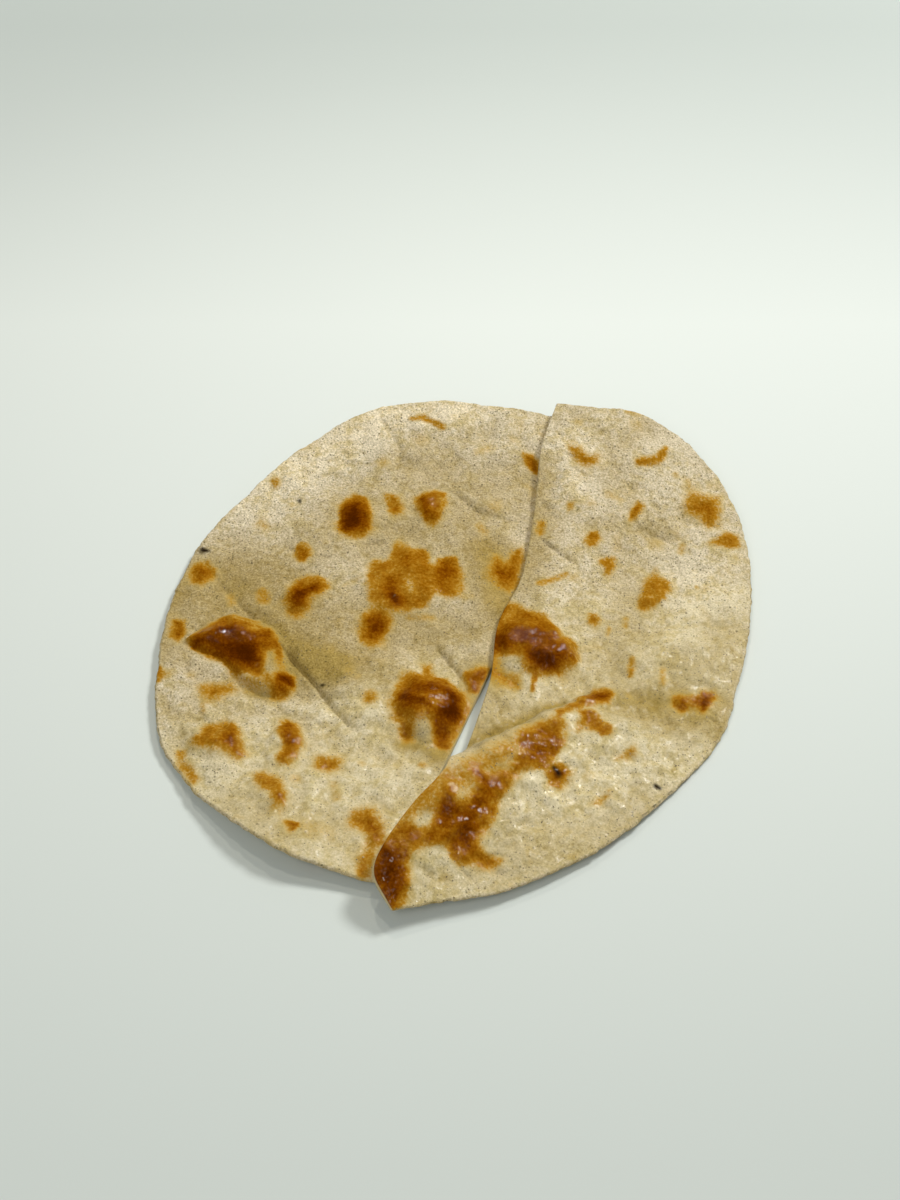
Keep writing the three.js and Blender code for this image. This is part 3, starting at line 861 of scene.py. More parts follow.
def painted(rows, x, y, seed, softest=STROKE_SOFT):
    """Strength of strokes: half at their margin, which wanders"""
    total = np.zeros_like(x)
    wander = clouds(MARGIN_WANDER, x, y, seed)
    for strength, points in rows:
        depth, width = inside_stroke(x, y, points)
        depth = depth + wander * np.minimum(1, width / STROKE_WANDERS_FROM_WIDTH)
        soft = np.minimum(softest, STROKE_SOFT_SHARE * width)
        total += (strength * eased(-1, 1, depth / soft)) ** STROKE_POWER
    return total ** (1 / STROKE_POWER)


def freckles(x, y, seed):
    draw = np.random.default_rng(seed)
    rows = []
    for _ in range(FRECKLES):
        at_x, at_y = draw.uniform(x.min(), x.max()), draw.uniform(y.min(), y.max())
        wide = draw.uniform(*FRECKLE_HALF_WIDTH)
        lean_x, lean_y = draw.normal(0, wide, 2)
        stroke = [(at_x, at_y, wide), (at_x + lean_x, at_y + lean_y, FRECKLE_TAPER * wide)]
        rows.append((draw.uniform(*FRECKLE_STRENGTH), stroke))
    return rows


def browning(half, x, y):
    seed = half["seed"]
    rows = [row for patch in half["browned"].values() for row in patch]
    brown = patched(rows, x, y, seed) * (1 - patched(half["windows"], x, y, seed + 7))
    brown = np.maximum(brown, painted(half["streaks"] + freckles(x, y, seed + 5), x, y, seed))
    uneven = clouds(UNEVEN_BROWN, x, y, seed + 3)
    shows = eased(UNEVEN_BROWN_SHOWS["start"], UNEVEN_BROWN_SHOWS["end"], brown)
    return np.clip(brown + uneven * shows, 0, 1)


def greased(half, x, y):
    """Ghee brushed over the front, with a margin that wanders, and the places where it still lies wet"""
    seed = half["seed"]
    margin = GHEE_MARGIN
    front = y - margin["slant"] * x + margin["wander"] * cloud(x, y, margin["lump"], seed + 24)
    brushed = GHEE_BRUSHED * eased(FRONT["start"], FRONT["end"], front)
    return np.maximum(brushed, painted(half["wet"], x, y, seed + 26))


def painted_shade_light_and_damp(half, x, y):
    """Painted shade with thinner damp dough: more in the hollows and in the listed strokes, less where
    painted light is listed
    """
    seed = half["seed"]
    damp = HOLLOW_SHADE_AND_DAMP
    low = eased(damp["start"], damp["end"], rolling(x, y, seed + 12) + small_bubbles(x, y, seed + 17))
    shade_and_thin = painted(half["shade_and_thin"], x, y, seed + 25, PAINTED_LIGHT_SHADE_SOFT)
    # strokes of painted light from the half's dry list: paler dough where more light falls
    dry = painted(half["dry"], x, y, seed + 27, PAINTED_LIGHT_SHADE_SOFT)
    return np.maximum(low * damp["alone"], shade_and_thin + damp["in thin dough"] * low) - dry


# Relief of the upper skin


def domes(rows, x, y, uneven, seed):
    """Height of the highest of some round swells, with an uneven foot"""
    height = np.zeros_like(x)
    wander = 1 + uneven * cloud(x, y, FOOT_LUMP, seed)
    for at_x, at_y, long, wide, turn_deg, high in rows:
        u, v = in_oval(x, y, at_x, at_y, long, wide, math.radians(turn_deg))
        inside = np.maximum(0, 1 - (u * u + v * v) * wander)
        bell = inside * inside * (3 - 2 * inside)
        height = np.maximum(height, high * bell)
    return height


def great_blister(x, y):
    """Swell with a steep wall over its foot in front, of the left half alone"""
    depth = np.maximum(0, inside_outline(x, y, GREAT_BLISTER_FOOT))
    wall, eases = GREAT_BLISTER_WALL, GREAT_BLISTER_EASES
    (middle_x, middle_y), (to_x, to_y) = GREAT_BLISTER_MIDDLE, GREAT_BLISTER_BACKWARD
    behind = eased(eases["start"], eases["end"], to_x * (x - middle_x) + to_y * (y - middle_y))
    rise = np.minimum(1, depth / (wall["front"] + (wall["back"] - wall["front"]) * behind))
    return GREAT_BLISTER_HIGH * np.sqrt(1 - (1 - rise) ** 2) * (1 - GREAT_BLISTER_SAG * behind * (1 - rise))


def creased(rows, x, y):
    """Grooves that fade out at both ends, with one side lifted beside them"""
    height = np.zeros_like(x)
    for depth, half_width, step, reach, points in rows:
        away, share, side = from_line(x, y, points)
        lasting = eased(0, CREASE_FADE, share) * eased(1, 1 - CREASE_FADE, share)
        groove = depth * np.exp(-((away / half_width) ** 2))
        raised = np.maximum(step * side, 0)
        lifted = raised * (1 - np.exp(-CREASE_LIP * away / reach)) * np.exp(-away / reach)
        height += lasting * (lifted - groove)
    return height


def small_bubbles(x, y, seed):
    """Low round bubbles strewn over the skin, too many to place one by one"""
    draw = np.random.default_rng(seed)
    height = np.zeros_like(x)
    for _ in range(BUBBLES):
        at_x, at_y = draw.uniform(x.min(), x.max()), draw.uniform(y.min(), y.max())
        wide = draw.uniform(*BUBBLE_HALF_WIDTH)
        high = wide * draw.uniform(*BUBBLE_STEEPNESS)
        long = wide * draw.uniform(*BUBBLE_LENGTH)
        u, v = in_oval(x, y, at_x, at_y, long, wide, draw.uniform(0, np.pi))
        inside = np.maximum(0, 1 - u * u - v * v)
        height = np.maximum(height, high * inside * inside)
    return height


def rolling(x, y, seed):
    """Rise and fall of the skin between the blisters, with short random wrinkles, livelier at the front"""
    broad = clouds(BROAD_ROLL, x, y, seed)
    fine = clouds(FINE_ROLL, x, y, seed + 2)
    line = np.exp(-((cloud(x, y, WRINKLES["spacing"], seed + 4) / WRINKLES["half width"]) ** 2))
    area = WRINKLED_AREA
    wrinkle = line * eased(area["start"], area["end"], cloud(x, y, area["lump"], seed + 5))
    livelier = 1 + FRONT_LIVELIER * eased(FRONT["start"], FRONT["end"], y)
    return broad + fine * livelier - WRINKLES["depth"] * wrinkle


def relief(half, x, y, brown):
    """Height of the upper skin over the plain dough, a little higher and wrinkled where it is browned"""
    seed = half["seed"]
    height = domes(half["blisters"], x, y, BLISTER_UNEVEN, seed + 10)
    if "great blister" in half["browned"]:
        height = np.maximum(height, great_blister(x, y))
    height += domes(half["puffs"], x, y, PUFF_UNEVEN, seed + 11)
    height += creased(half["creases"], x, y)
    height += rolling(x, y, seed + 12) + small_bubbles(x, y, seed + 17)
    height += BROWN_RISE["high"] * eased(BROWN_RISE["start"], BROWN_RISE["end"], brown)
    (high, size), (low, finer) = BROWN_WRINKLES
    wrinkle = high * np.abs(cloud(x, y, size, seed + 16)) + low * np.abs(cloud(x, y, finer, seed + 18))
    wrinkled = eased(BROWN_WRINKLED["start"], BROWN_WRINKLED["end"], brown)
    return height - BROWN_WRINKLED["depth"] * wrinkle * wrinkled


# Sheet of each half


def spline(points, count):
    """Even points along a smooth curve through the given ones"""
    given = np.array(points, float)
    ends = np.vstack([2 * given[0] - given[1], given, 2 * given[-1] - given[-2]])
    t = np.linspace(0, 1, STRETCH_STEPS, endpoint=False)[:, None]
    stretches = []
    for k in range(len(given) - 1):
        a, b, c, d = ends[k:k + 4]
        bend = (2 * a - 5 * b + 4 * c - d) * t**2 + (3 * b - a - 3 * c + d) * t**3
        stretches.append(0.5 * (2 * b + (c - a) * t + bend))
    path = np.vstack(stretches + [given[-1:]])
    run = np.concatenate([[0], np.cumsum(np.hypot(*np.diff(path, axis=0).T))])
    at = np.linspace(0, run[-1], count)
    return np.stack([np.interp(at, run, path[:, k]) for k in range(2)], -1)


def at_share(path, share):
    """Point of an even path at a share of its length"""
    place = np.asarray(share) * (len(path) - 1)
    return np.stack([np.interp(place, np.arange(len(path)), path[:, k]) for k in range(2)], -1)


def bitten(path, seed):
    """A path with small uneven bites and lumps, fading out towards its ends"""
    step = np.gradient(path, axis=0)
    out = np.stack([step[:, 1], -step[:, 0]], -1) / np.linalg.norm(step, axis=-1, keepdims=True)
    bite = clouds(RIM_BITES, *path.T, seed)
    share = np.linspace(0, 1, len(path))
    lasting = eased(0, RIM_BITES_FADE, share) * eased(1, 1 - RIM_BITES_FADE, share)
    return path + out * (bite * lasting)[:, None]


def plan_grid(rim_points, cut_points, seed):
    """Grid that fills a half, from its cut to the middle of its rim, with the rim's ends at its sides"""
    rim, cut = bitten(spline(rim_points, RIM_STEPS), seed), spline(cut_points, CUT_STEPS)
    u = np.linspace(0, 1, ALONG + 1)
    v = np.linspace(0, 1, ACROSS + 1)
    cut_side = at_share(cut, u)
    rim_side = at_share(rim, RIM_SHARE + (1 - 2 * RIM_SHARE) * u)
    back_side = at_share(rim, RIM_SHARE * v)
    front_side = at_share(rim, 1 - RIM_SHARE * v)
    u, v = u[None, :, None], v[:, None, None]
    grid = cut_side[None] * (1 - v) + rim_side[None] * v
    grid = grid + back_side[:, None] * (1 - u) + front_side[:, None] * u
    grid = grid - cut_side[0] * (1 - u) * (1 - v) - cut_side[-1] * u * (1 - v)
    return grid - rim_side[0] * (1 - u) * v - rim_side[-1] * u * v


def distance_to(path, x, y):
    path_x, path_y = path.T
    return np.array([np.hypot(a[:, None] - path_x, b[:, None] - path_y).min(1) for a, b in zip(x, y)])


def surface_normal(lie_of, x, y):
    slope_x = (lie_of(x + SLOPE_STEP, y) - lie_of(x - SLOPE_STEP, y)) / (2 * SLOPE_STEP)
    slope_y = (lie_of(x, y + SLOPE_STEP) - lie_of(x, y - SLOPE_STEP)) / (2 * SLOPE_STEP)
    normal = np.stack([-slope_x, -slope_y, np.ones_like(x)], -1)
    return normal / np.linalg.norm(normal, axis=-1, keepdims=True)


def margin_round(along, across):
    """Rows and columns of a grid's margin in one round: down the cut, then back along the rim"""
    down = [(0, i) for i in range(along)]
    front = [(j, along) for j in range(across)]
    back_up = [(across, i) for i in range(along, 0, -1)]
    home = [(j, 0) for j in range(across, 0, -1)]
    return np.array(down + front + back_up + home).T


def grid_quads(number):
    corners = number[:-1, :-1], number[:-1, 1:], number[1:, 1:], number[1:, :-1]
    return np.stack([c.ravel() for c in corners], -1).tolist()


def edge_bulge(plan, seed):
    """Way out from each place of the margin, and how far the edge stands out there"""
    rows, columns = margin_round(ALONG, ACROSS)
    ring = plan[rows, columns]
    ahead = np.roll(ring, -1, 0) - np.roll(ring, 1, 0)
    outward = np.stack([ahead[:, 1], -ahead[:, 0], np.zeros(len(ring))], -1)
    outward /= np.linalg.norm(outward, axis=-1, keepdims=True)
    area = np.sum(ring[:, 0] * np.roll(ring[:, 1], -1) - np.roll(ring[:, 0], -1) * ring[:, 1])
    uneven = cloud(ring[:, 0], ring[:, 1], EDGE_UNEVEN["lump"], seed)
    rim = RIM_BULGE * (1 + EDGE_UNEVEN["change"] * uneven)
    return outward * np.sign(area), np.where(rows == 0, CUT_BULGE, rim)


def closed_sheet(upper, lower, outward, bulge):
    """Vertices and faces of the skin, rows round the edge, and a table side with half the cells each way"""
    rows, columns = margin_round(ALONG, ACROSS)
    number = np.arange(upper[..., 0].size).reshape(upper.shape[:2])
    vertices = [upper.reshape(-1, 3)]
    faces = grid_quads(number)
    count = number.size
    above = number[rows, columns]
    for row in range(1, EDGE_ROWS + 1):
        share = row / (EDGE_ROWS + 1)
        between = upper[rows, columns] * (1 - share) + lower[rows, columns] * share
        vertices.append(between + outward * (bulge * math.sin(math.pi * share))[:, None])
        below = count + np.arange(len(rows))
        count += len(rows)
        faces += np.stack([above, below, np.roll(below, -1), np.roll(above, -1)], -1).tolist()
        above = below
    table_side = lower[::2, ::2]
    vertices.append(table_side.reshape(-1, 3))
    number = count + np.arange(table_side[..., 0].size).reshape(table_side.shape[:2])
    faces += grid_quads(number)
    below = number[tuple(margin_round(ALONG // 2, ACROSS // 2))]
    here, between, after = above[0::2], above[1::2], np.roll(above[0::2], -1)
    below_after = np.roll(below, -1)
    for corners in ([here, below, between], [between, below, below_after], [between, below_after, after]):
        faces += np.stack(corners, -1).tolist()
    return np.concatenate(vertices), faces


def skin_marks(half, x, y, brown):
    """What the crust reads at each vertex: over the skin, round the edge and on the table side"""
    seed = half["seed"]
    rows, columns = margin_round(ALONG, ACROSS)

    def over_sheet(skin, edge, table_side):
        edge = np.tile(np.broadcast_to(edge, rows.shape), EDGE_ROWS)
        parts = np.broadcast_to(skin, x.shape), edge, np.broadcast_to(table_side, x[::2, ::2].shape)
        return np.concatenate([part.ravel() for part in parts])

    scorch = painted([(1, row) for row in half["scorched"]], x, y, seed + 20)
    below = TABLE_SIDE_BROWN
    marked = eased(below["start"], below["end"], cloud(x, y, below["lump"], seed + 23))
    brown_below = below["strength"] * marked[::2, ::2]
    return {
        "browning": over_sheet(brown, EDGE_BROWN * brown[rows, columns], brown_below),
        "scorch": over_sheet(scorch, 0.0, 0.0),
        "ghee": over_sheet(greased(half, x, y), 0.0, 0.0),
        "painted_light_shade_and_damp": over_sheet(painted_shade_light_and_damp(half, x, y), EDGE_HOLLOW, EDGE_HOLLOW),
        "crumb": over_sheet(0.0, (rows == 0).astype(float), 0.0),
    }


def placed(name, data):
    piece = bpy.data.objects.new(name, data)
    bpy.context.scene.collection.objects.link(piece)
    return piece


def half_sheet(name, half, material):
    """One half as a closed sheet of dough with its relief, and with its marks as attributes"""
    seed = half["seed"]
    plan = plan_grid(half["rim"], half["cut"], seed + 30)
    x, y = plan[..., 0], plan[..., 1]
    from_rim = distance_to(spline(half["rim"], MARGIN_STEPS), x, y)
    from_cut = distance_to(spline(half["cut"], MARGIN_STEPS), x, y)
    brown = browning(half, x, y)
    normal = surface_normal(half["lie"], x, y)
    middle = np.stack([x, y, half["lie"](x, y) + DOUGH / 2], -1)
    dough = RIM_DOUGH + (DOUGH - RIM_DOUGH) * eased(0, RIM_TAPER, from_rim)
    skin = relief(half, x, y, brown) * eased(RELIEF_FROM_RIM, RIM_TAPER, from_rim)
    skin = skin * eased(RELIEF_FROM_CUT["start"], RELIEF_FROM_CUT["end"], from_cut)
    upper = middle + normal * (dough - DOUGH / 2 + np.maximum(skin, -DEEPEST_HOLLOW * DOUGH))[..., None]
    lower = middle - normal * (DOUGH / 2)
    risen = TABLE_SIDE["rise"] * (1 + cloud(x, y, TABLE_SIDE["lump"], seed + 21))
    lower[..., 2] = np.maximum(lower[..., 2] + risen, 0)
    vertices, faces = closed_sheet(upper, lower, *edge_bulge(plan, seed + 22))

    mesh = bpy.data.meshes.new(name)
    mesh.from_pydata((vertices * METRES).tolist(), [], faces)
    outside = bmesh.new()
    outside.from_mesh(mesh)
    bmesh.ops.recalc_face_normals(outside, faces=outside.faces)
    outside.to_mesh(mesh)
    outside.free()
    for mark, values in skin_marks(half, x, y, brown).items():
        mesh.attributes.new(mark, "FLOAT", "POINT").data.foreach_set("value", values)
    mesh.polygons.foreach_set("use_smooth", np.ones(len(mesh.polygons), bool))
    mesh.materials.append(material)
    return placed(name, mesh)


# Materials

# Sockets of a colour mix, whose names the other kinds of mix share
MIX_A, MIX_B, MIX_RESULT = 6, 7, 2


def linear(code):
    """An sRGB hex colour as linear red, green, blue and alpha"""
    shown = [int(code[k:k + 2], 16) / 255 for k in (1, 3, 5)]
    return (*[c / 12.92 if c <= 0.04045 else ((c + 0.055) / 1.055) ** 2.4 for c in shown], 1)


def add(tree, kind, inputs=(), stops=(), **settings):
    """A node with its settings, colour stops, and inputs that are values or links"""
    node = tree.nodes.new(kind)
    for name, value in settings.items():
        setattr(node, name, value)
    for k, (place, colour) in enumerate(stops):
        stop = node.color_ramp.elements[k] if k < 2 else node.color_ramp.elements.new(place)
        stop.position = place
        stop.color = linear(colour)
    for socket, value in dict(inputs).items():
        if isinstance(value, bpy.types.NodeSocket):
            tree.links.new(value, node.inputs[socket])
        else:
            node.inputs[socket].default_value = value
    return node


def new_material(name):
    material = bpy.data.materials.new(name)
    material.use_nodes = True
    tree = material.node_tree
    tree.nodes.clear()
    shader = add(tree, "ShaderNodeBsdfPrincipled")
    add(tree, "ShaderNodeOutputMaterial", {"Surface": shader.outputs["BSDF"]})
    return material, tree, shader


def dough_colour(tree, blotch, mottle):
    """Pale dry dough with a mottled tone, darker with painted shade and where it is thinner and damp, paler
    with painted light
    """
    tone = add(tree, "ShaderNodeMix", {0: 0.5, 2: blotch, 3: mottle}).outputs[0]
    dry = add(
        tree, "ShaderNodeValToRGB", {"Fac": tone},
        stops=[(0.3, "#bdaa77"), (0.42, "#d0bf95"), (0.55, "#ded1b4")],
    ).outputs["Color"]
    damp = add(
        tree, "ShaderNodeValToRGB", {"Fac": tone}, stops=[(0.3, "#8f7637"), (0.5, "#a89051")],
    ).outputs["Color"]
    # this mark holds painted shade with thinner damp dough, and painted light below nought
    painted_light_shade_and_damp = add(tree, "ShaderNodeAttribute", attribute_name="painted_light_shade_and_damp").outputs["Fac"]
    sunk = add(tree, "ShaderNodeMix", {0: 0.25, 2: painted_light_shade_and_damp, 3: blotch}).outputs[0]
    wet = add(tree, "ShaderNodeMapRange", {"Value": sunk, 1: 0.1, 2: 0.8}).outputs[0]
    pale = add(
        tree, "ShaderNodeMix", {0: wet, MIX_A: dry, MIX_B: damp}, data_type="RGBA",
    ).outputs[MIX_RESULT]
    # painted light: paler where the mark is below nought
    painted_light = add(tree, "ShaderNodeMapRange", {"Value": painted_light_shade_and_damp, 1: -0.5, 2: 0.0, 3: 1.2, 4: 1.0}).outputs[0]
    return add(tree, "ShaderNodeVectorMath", {0: pale, "Scale": painted_light}, operation="SCALE").outputs[0]


def grained_colour(tree, dough, grain, ghee, dryness):
    """Flour grains that stand out on dry dough and sink under the ghee, which warms the dough a little"""
    flour = add(tree, "ShaderNodeMapRange", {"Value": grain, 1: 0.2, 2: 0.8, 3: -0.62, 4: 0.5}).outputs[0]
    shade = add(tree, "ShaderNodeMath", {0: flour, 1: dryness, 2: 0.5}, operation="MULTIPLY_ADD").outputs[0]
    tint = add(
        tree, "ShaderNodeMix", {0: shade, MIX_A: GRAIN_DARKEST, MIX_B: GRAIN_PALEST}, data_type="RGBA",
    ).outputs[MIX_RESULT]
    grained = add(tree, "ShaderNodeVectorMath", {0: dough, 1: tint}, operation="MULTIPLY").outputs[0]
    return add(
        tree, "ShaderNodeMix", {0: ghee, MIX_A: grained, MIX_B: linear("#fafae8")}, data_type="RGBA",
        blend_type="MULTIPLY",
    ).outputs[MIX_RESULT]


def specked_colour(tree, mm, dough, ghee):
    """Specks of bran within the dough, some larger, many missing, and fainter under the ghee"""
    bran = add(tree, "ShaderNodeTexVoronoi", {"Vector": mm, "Scale": 1 / SPECK_SPACING}).outputs
    chosen = add(tree, "ShaderNodeSeparateColor", {"Color": bran["Color"]}).outputs[0]
    size = add(tree, "ShaderNodeMapRange", {"Value": chosen, 1: 0.35, 2: 1.0, 4: 0.36}).outputs[0]
    inside = add(tree, "ShaderNodeMath", {0: size, 1: bran["Distance"]}, operation="SUBTRACT").outputs[0]
    speck = add(tree, "ShaderNodeMapRange", {"Value": inside, 1: 0.0, 2: 0.15, 4: 0.8}).outputs[0]
    seen = add(tree, "ShaderNodeMapRange", {"Value": ghee, 1: 0.0, 2: 0.65, 3: 1.0, 4: 0.75}).outputs[0]
    cover = add(tree, "ShaderNodeMath", {0: speck, 1: seen}, operation="MULTIPLY").outputs[0]
    return add(
        tree, "ShaderNodeMix", {0: cover, MIX_A: dough, MIX_B: linear("#655a3a")}, data_type="RGBA",
    ).outputs[MIX_RESULT]


def toasted_colour(tree, mm, dough):
    """Browning from straw through amber to dark brown, uneven within each patch"""
    brown = add(tree, "ShaderNodeAttribute", attribute_name="browning").outputs["Fac"]
    fine = add(
        tree, "ShaderNodeTexNoise", {"Vector": mm, "Scale": 1 / BROWN_DRIFT, "Detail": 3},
    ).outputs["Fac"]
    drift = add(tree, "ShaderNodeMapRange", {"Value": fine, 1: 0.3, 2: 0.7, 3: -0.11, 4: 0.11}).outputs[0]
    taken = add(tree, "ShaderNodeMapRange", {"Value": brown, 1: 0.03, 2: 0.35}).outputs[0]
    toast = add(
        tree, "ShaderNodeMath", {0: drift, 1: taken, 2: brown}, operation="MULTIPLY_ADD", use_clamp=True,
    ).outputs[0]
    toasted = add(
        tree, "ShaderNodeValToRGB", {"Fac": toast},
        stops=[
            (0.0, "#cfb670"), (0.12, "#c6a451"), (0.22, "#ba9036"), (0.33, "#ab781d"), (0.45, "#98610c"),
            (0.58, "#844a03"), (0.72, "#6d3600"), (0.86, "#562600"), (1.0, "#4a1f00"),
        ],
    ).outputs["Color"]
    cover = add(
        tree, "ShaderNodeMapRange", {"Value": toast, 1: 0.0, 2: 0.3}, interpolation_type="SMOOTHSTEP",
    ).outputs[0]
    return add(
        tree, "ShaderNodeMix", {0: cover, MIX_A: dough, MIX_B: toasted}, data_type="RGBA",
    ).outputs[MIX_RESULT]


def ghee_film(tree, shader, mm, ghee):
    """Film of ghee, thicker in patches, with ripples that break the light into glints"""
    patch = add(
        tree, "ShaderNodeTexNoise", {"Vector": mm, "Scale": 1 / FILM_PATCH, "Detail": 2},
    ).outputs["Fac"]
    held = add(tree, "ShaderNodeMapRange", {"Value": patch, 1: 0.45, 2: 0.6, 3: 0.35, 4: 1.0}).outputs[0]
    poured = add(tree, "ShaderNodeMapRange", {"Value": ghee, 1: 0.3, 2: 1.0}).outputs[0]
    weight = add(tree, "ShaderNodeMath", {0: poured, 1: held}, operation="MULTIPLY").outputs[0]
    tree.links.new(weight, shader.inputs["Coat Weight"])
    shader.inputs["Coat Roughness"].default_value = 0.1
    shader.inputs["Coat IOR"].default_value = 1.5
    ripple = add(
        tree, "ShaderNodeTexNoise", {"Vector": mm, "Scale": 1 / FILM_RIPPLE, "Detail": 1},
    ).outputs["Fac"]
    film = add(tree, "ShaderNodeBump", {"Strength": 1.0, "Distance": 0.3 * METRES, "Height": ripple})
    tree.links.new(film.outputs["Normal"], shader.inputs["Coat Normal"])


def baked_crust():
    """Whole-wheat dough baked on a hot clay wall: pale and mottled, with bran in it, blistered brown,
    brushed with ghee at the front, so the back is matt and the front glints."""
    material, tree, shader = new_material("baked whole-wheat crust")
    place = add(tree, "ShaderNodeTexCoord").outputs["Object"]
    mm = add(tree, "ShaderNodeVectorMath", {0: place, "Scale": 1 / METRES}, operation="SCALE").outputs[0]
    blotch = add(tree, "ShaderNodeTexNoise", {"Vector": mm, "Scale": 1 / BLOTCH, "Detail": 2}).outputs["Fac"]
    mottle = add(tree, "ShaderNodeTexNoise", {"Vector": mm, "Scale": 1 / MOTTLE, "Detail": 3}).outputs["Fac"]
    grain = add(
        tree, "ShaderNodeTexNoise", {"Vector": mm, "Scale": 1 / GRAIN, "Detail": 4, "Roughness": 0.65},
    ).outputs["Fac"]
    ghee = add(tree, "ShaderNodeAttribute", attribute_name="ghee").outputs["Fac"]
    dryness = add(tree, "ShaderNodeMapRange", {"Value": ghee, 1: 0.0, 2: 0.65, 3: 1.0, 4: 0.58}).outputs[0]

    dough = dough_colour(tree, blotch, mottle)
    dough = grained_colour(tree, dough, grain, ghee, dryness)
    crust = toasted_colour(tree, mm, specked_colour(tree, mm, dough, ghee))
    for mark, code in (("crumb", "#d6c598"), ("scorch", "#20160f")):
        cover = add(tree, "ShaderNodeAttribute", attribute_name=mark).outputs["Fac"]
        crust = add(
            tree, "ShaderNodeMix", {0: cover, MIX_A: crust, MIX_B: linear(code)}, data_type="RGBA",
        ).outputs[MIX_RESULT]
    tree.links.new(crust, shader.inputs["Base Color"])
    shader.inputs["Specular IOR Level"].default_value = 0.0
    shader.inputs["Roughness"].default_value = 0.7

    ghee_film(tree, shader, mm, ghee)
    lumps = add(tree, "ShaderNodeMix", {0: 0.55, 2: mottle, 3: grain}).outputs[0]
    bump = add(tree, "ShaderNodeBump", {"Strength": dryness, "Distance": 1.0 * METRES, "Height": lumps})
    tree.links.new(bump.outputs["Normal"], shader.inputs["Normal"])
    return material


def bran_flake():
    """Flakes of wheat bran baked into the skin: dull grey-brown husk"""
    material, tree, shader = new_material("wheat bran flake")
    place = add(tree, "ShaderNodeTexCoord").outputs["Object"]
    patch = add(tree, "ShaderNodeTexNoise", {"Vector": place, "Scale": 1 / (2 * METRES)}).outputs["Fac"]
    husk = add(
        tree, "ShaderNodeValToRGB", {"Fac": patch}, stops=[(0.35, "#62553a"), (0.65, "#8f7d54")],
    ).outputs["Color"]
    tree.links.new(husk, shader.inputs["Base Color"])
    shader.inputs["Roughness"].default_value = 0.7
    return material


def studio_floor():
    """Pale and matt, with painted shade that darkens it towards the front and the back, and painted light: a
    glow of its own far off
    """
    material, tree, shader = new_material("pale matt floor")
    place = add(tree, "ShaderNodeTexCoord").outputs["Object"]
    depth = add(tree, "ShaderNodeSeparateXYZ", {"Vector": place}).outputs["Y"]
    # painted shade: the floor's tint darkens towards the front and the back
    back = add(
        tree, "ShaderNodeMapRange", {"Value": depth, 1: FLOOR_PAINTED_SHADE["start"], 2: FLOOR_PAINTED_SHADE["end"]},
    ).outputs[0]
    tint = add(
        tree, "ShaderNodeValToRGB", {"Fac": back},
        stops=[(0.0, "#d0d7d1"), (0.6, "#e2e8e2"), (1.0, "#cad2cc")],
    ).outputs["Color"]
    tree.links.new(tint, shader.inputs["Base Color"])
    away = add(tree, "ShaderNodeVectorMath", {0: place}, operation="LENGTH").outputs["Value"]
    glow = add(
        tree, "ShaderNodeMapRange", {"Value": away, 1: GLOW_RING["start"], 2: GLOW_RING["end"], 4: FAR_GLOW},
        interpolation_type="SMOOTHSTEP",
    ).outputs[0]
    tree.links.new(glow, shader.inputs["Emission Strength"])
    shader.inputs["Emission Color"].default_value = linear("#cad2cc")
    shader.inputs["Roughness"].default_value = 0.9
    shader.inputs["Specular IOR Level"].default_value = 0.2
    return material


# Bran flakes scattered over the upper skin


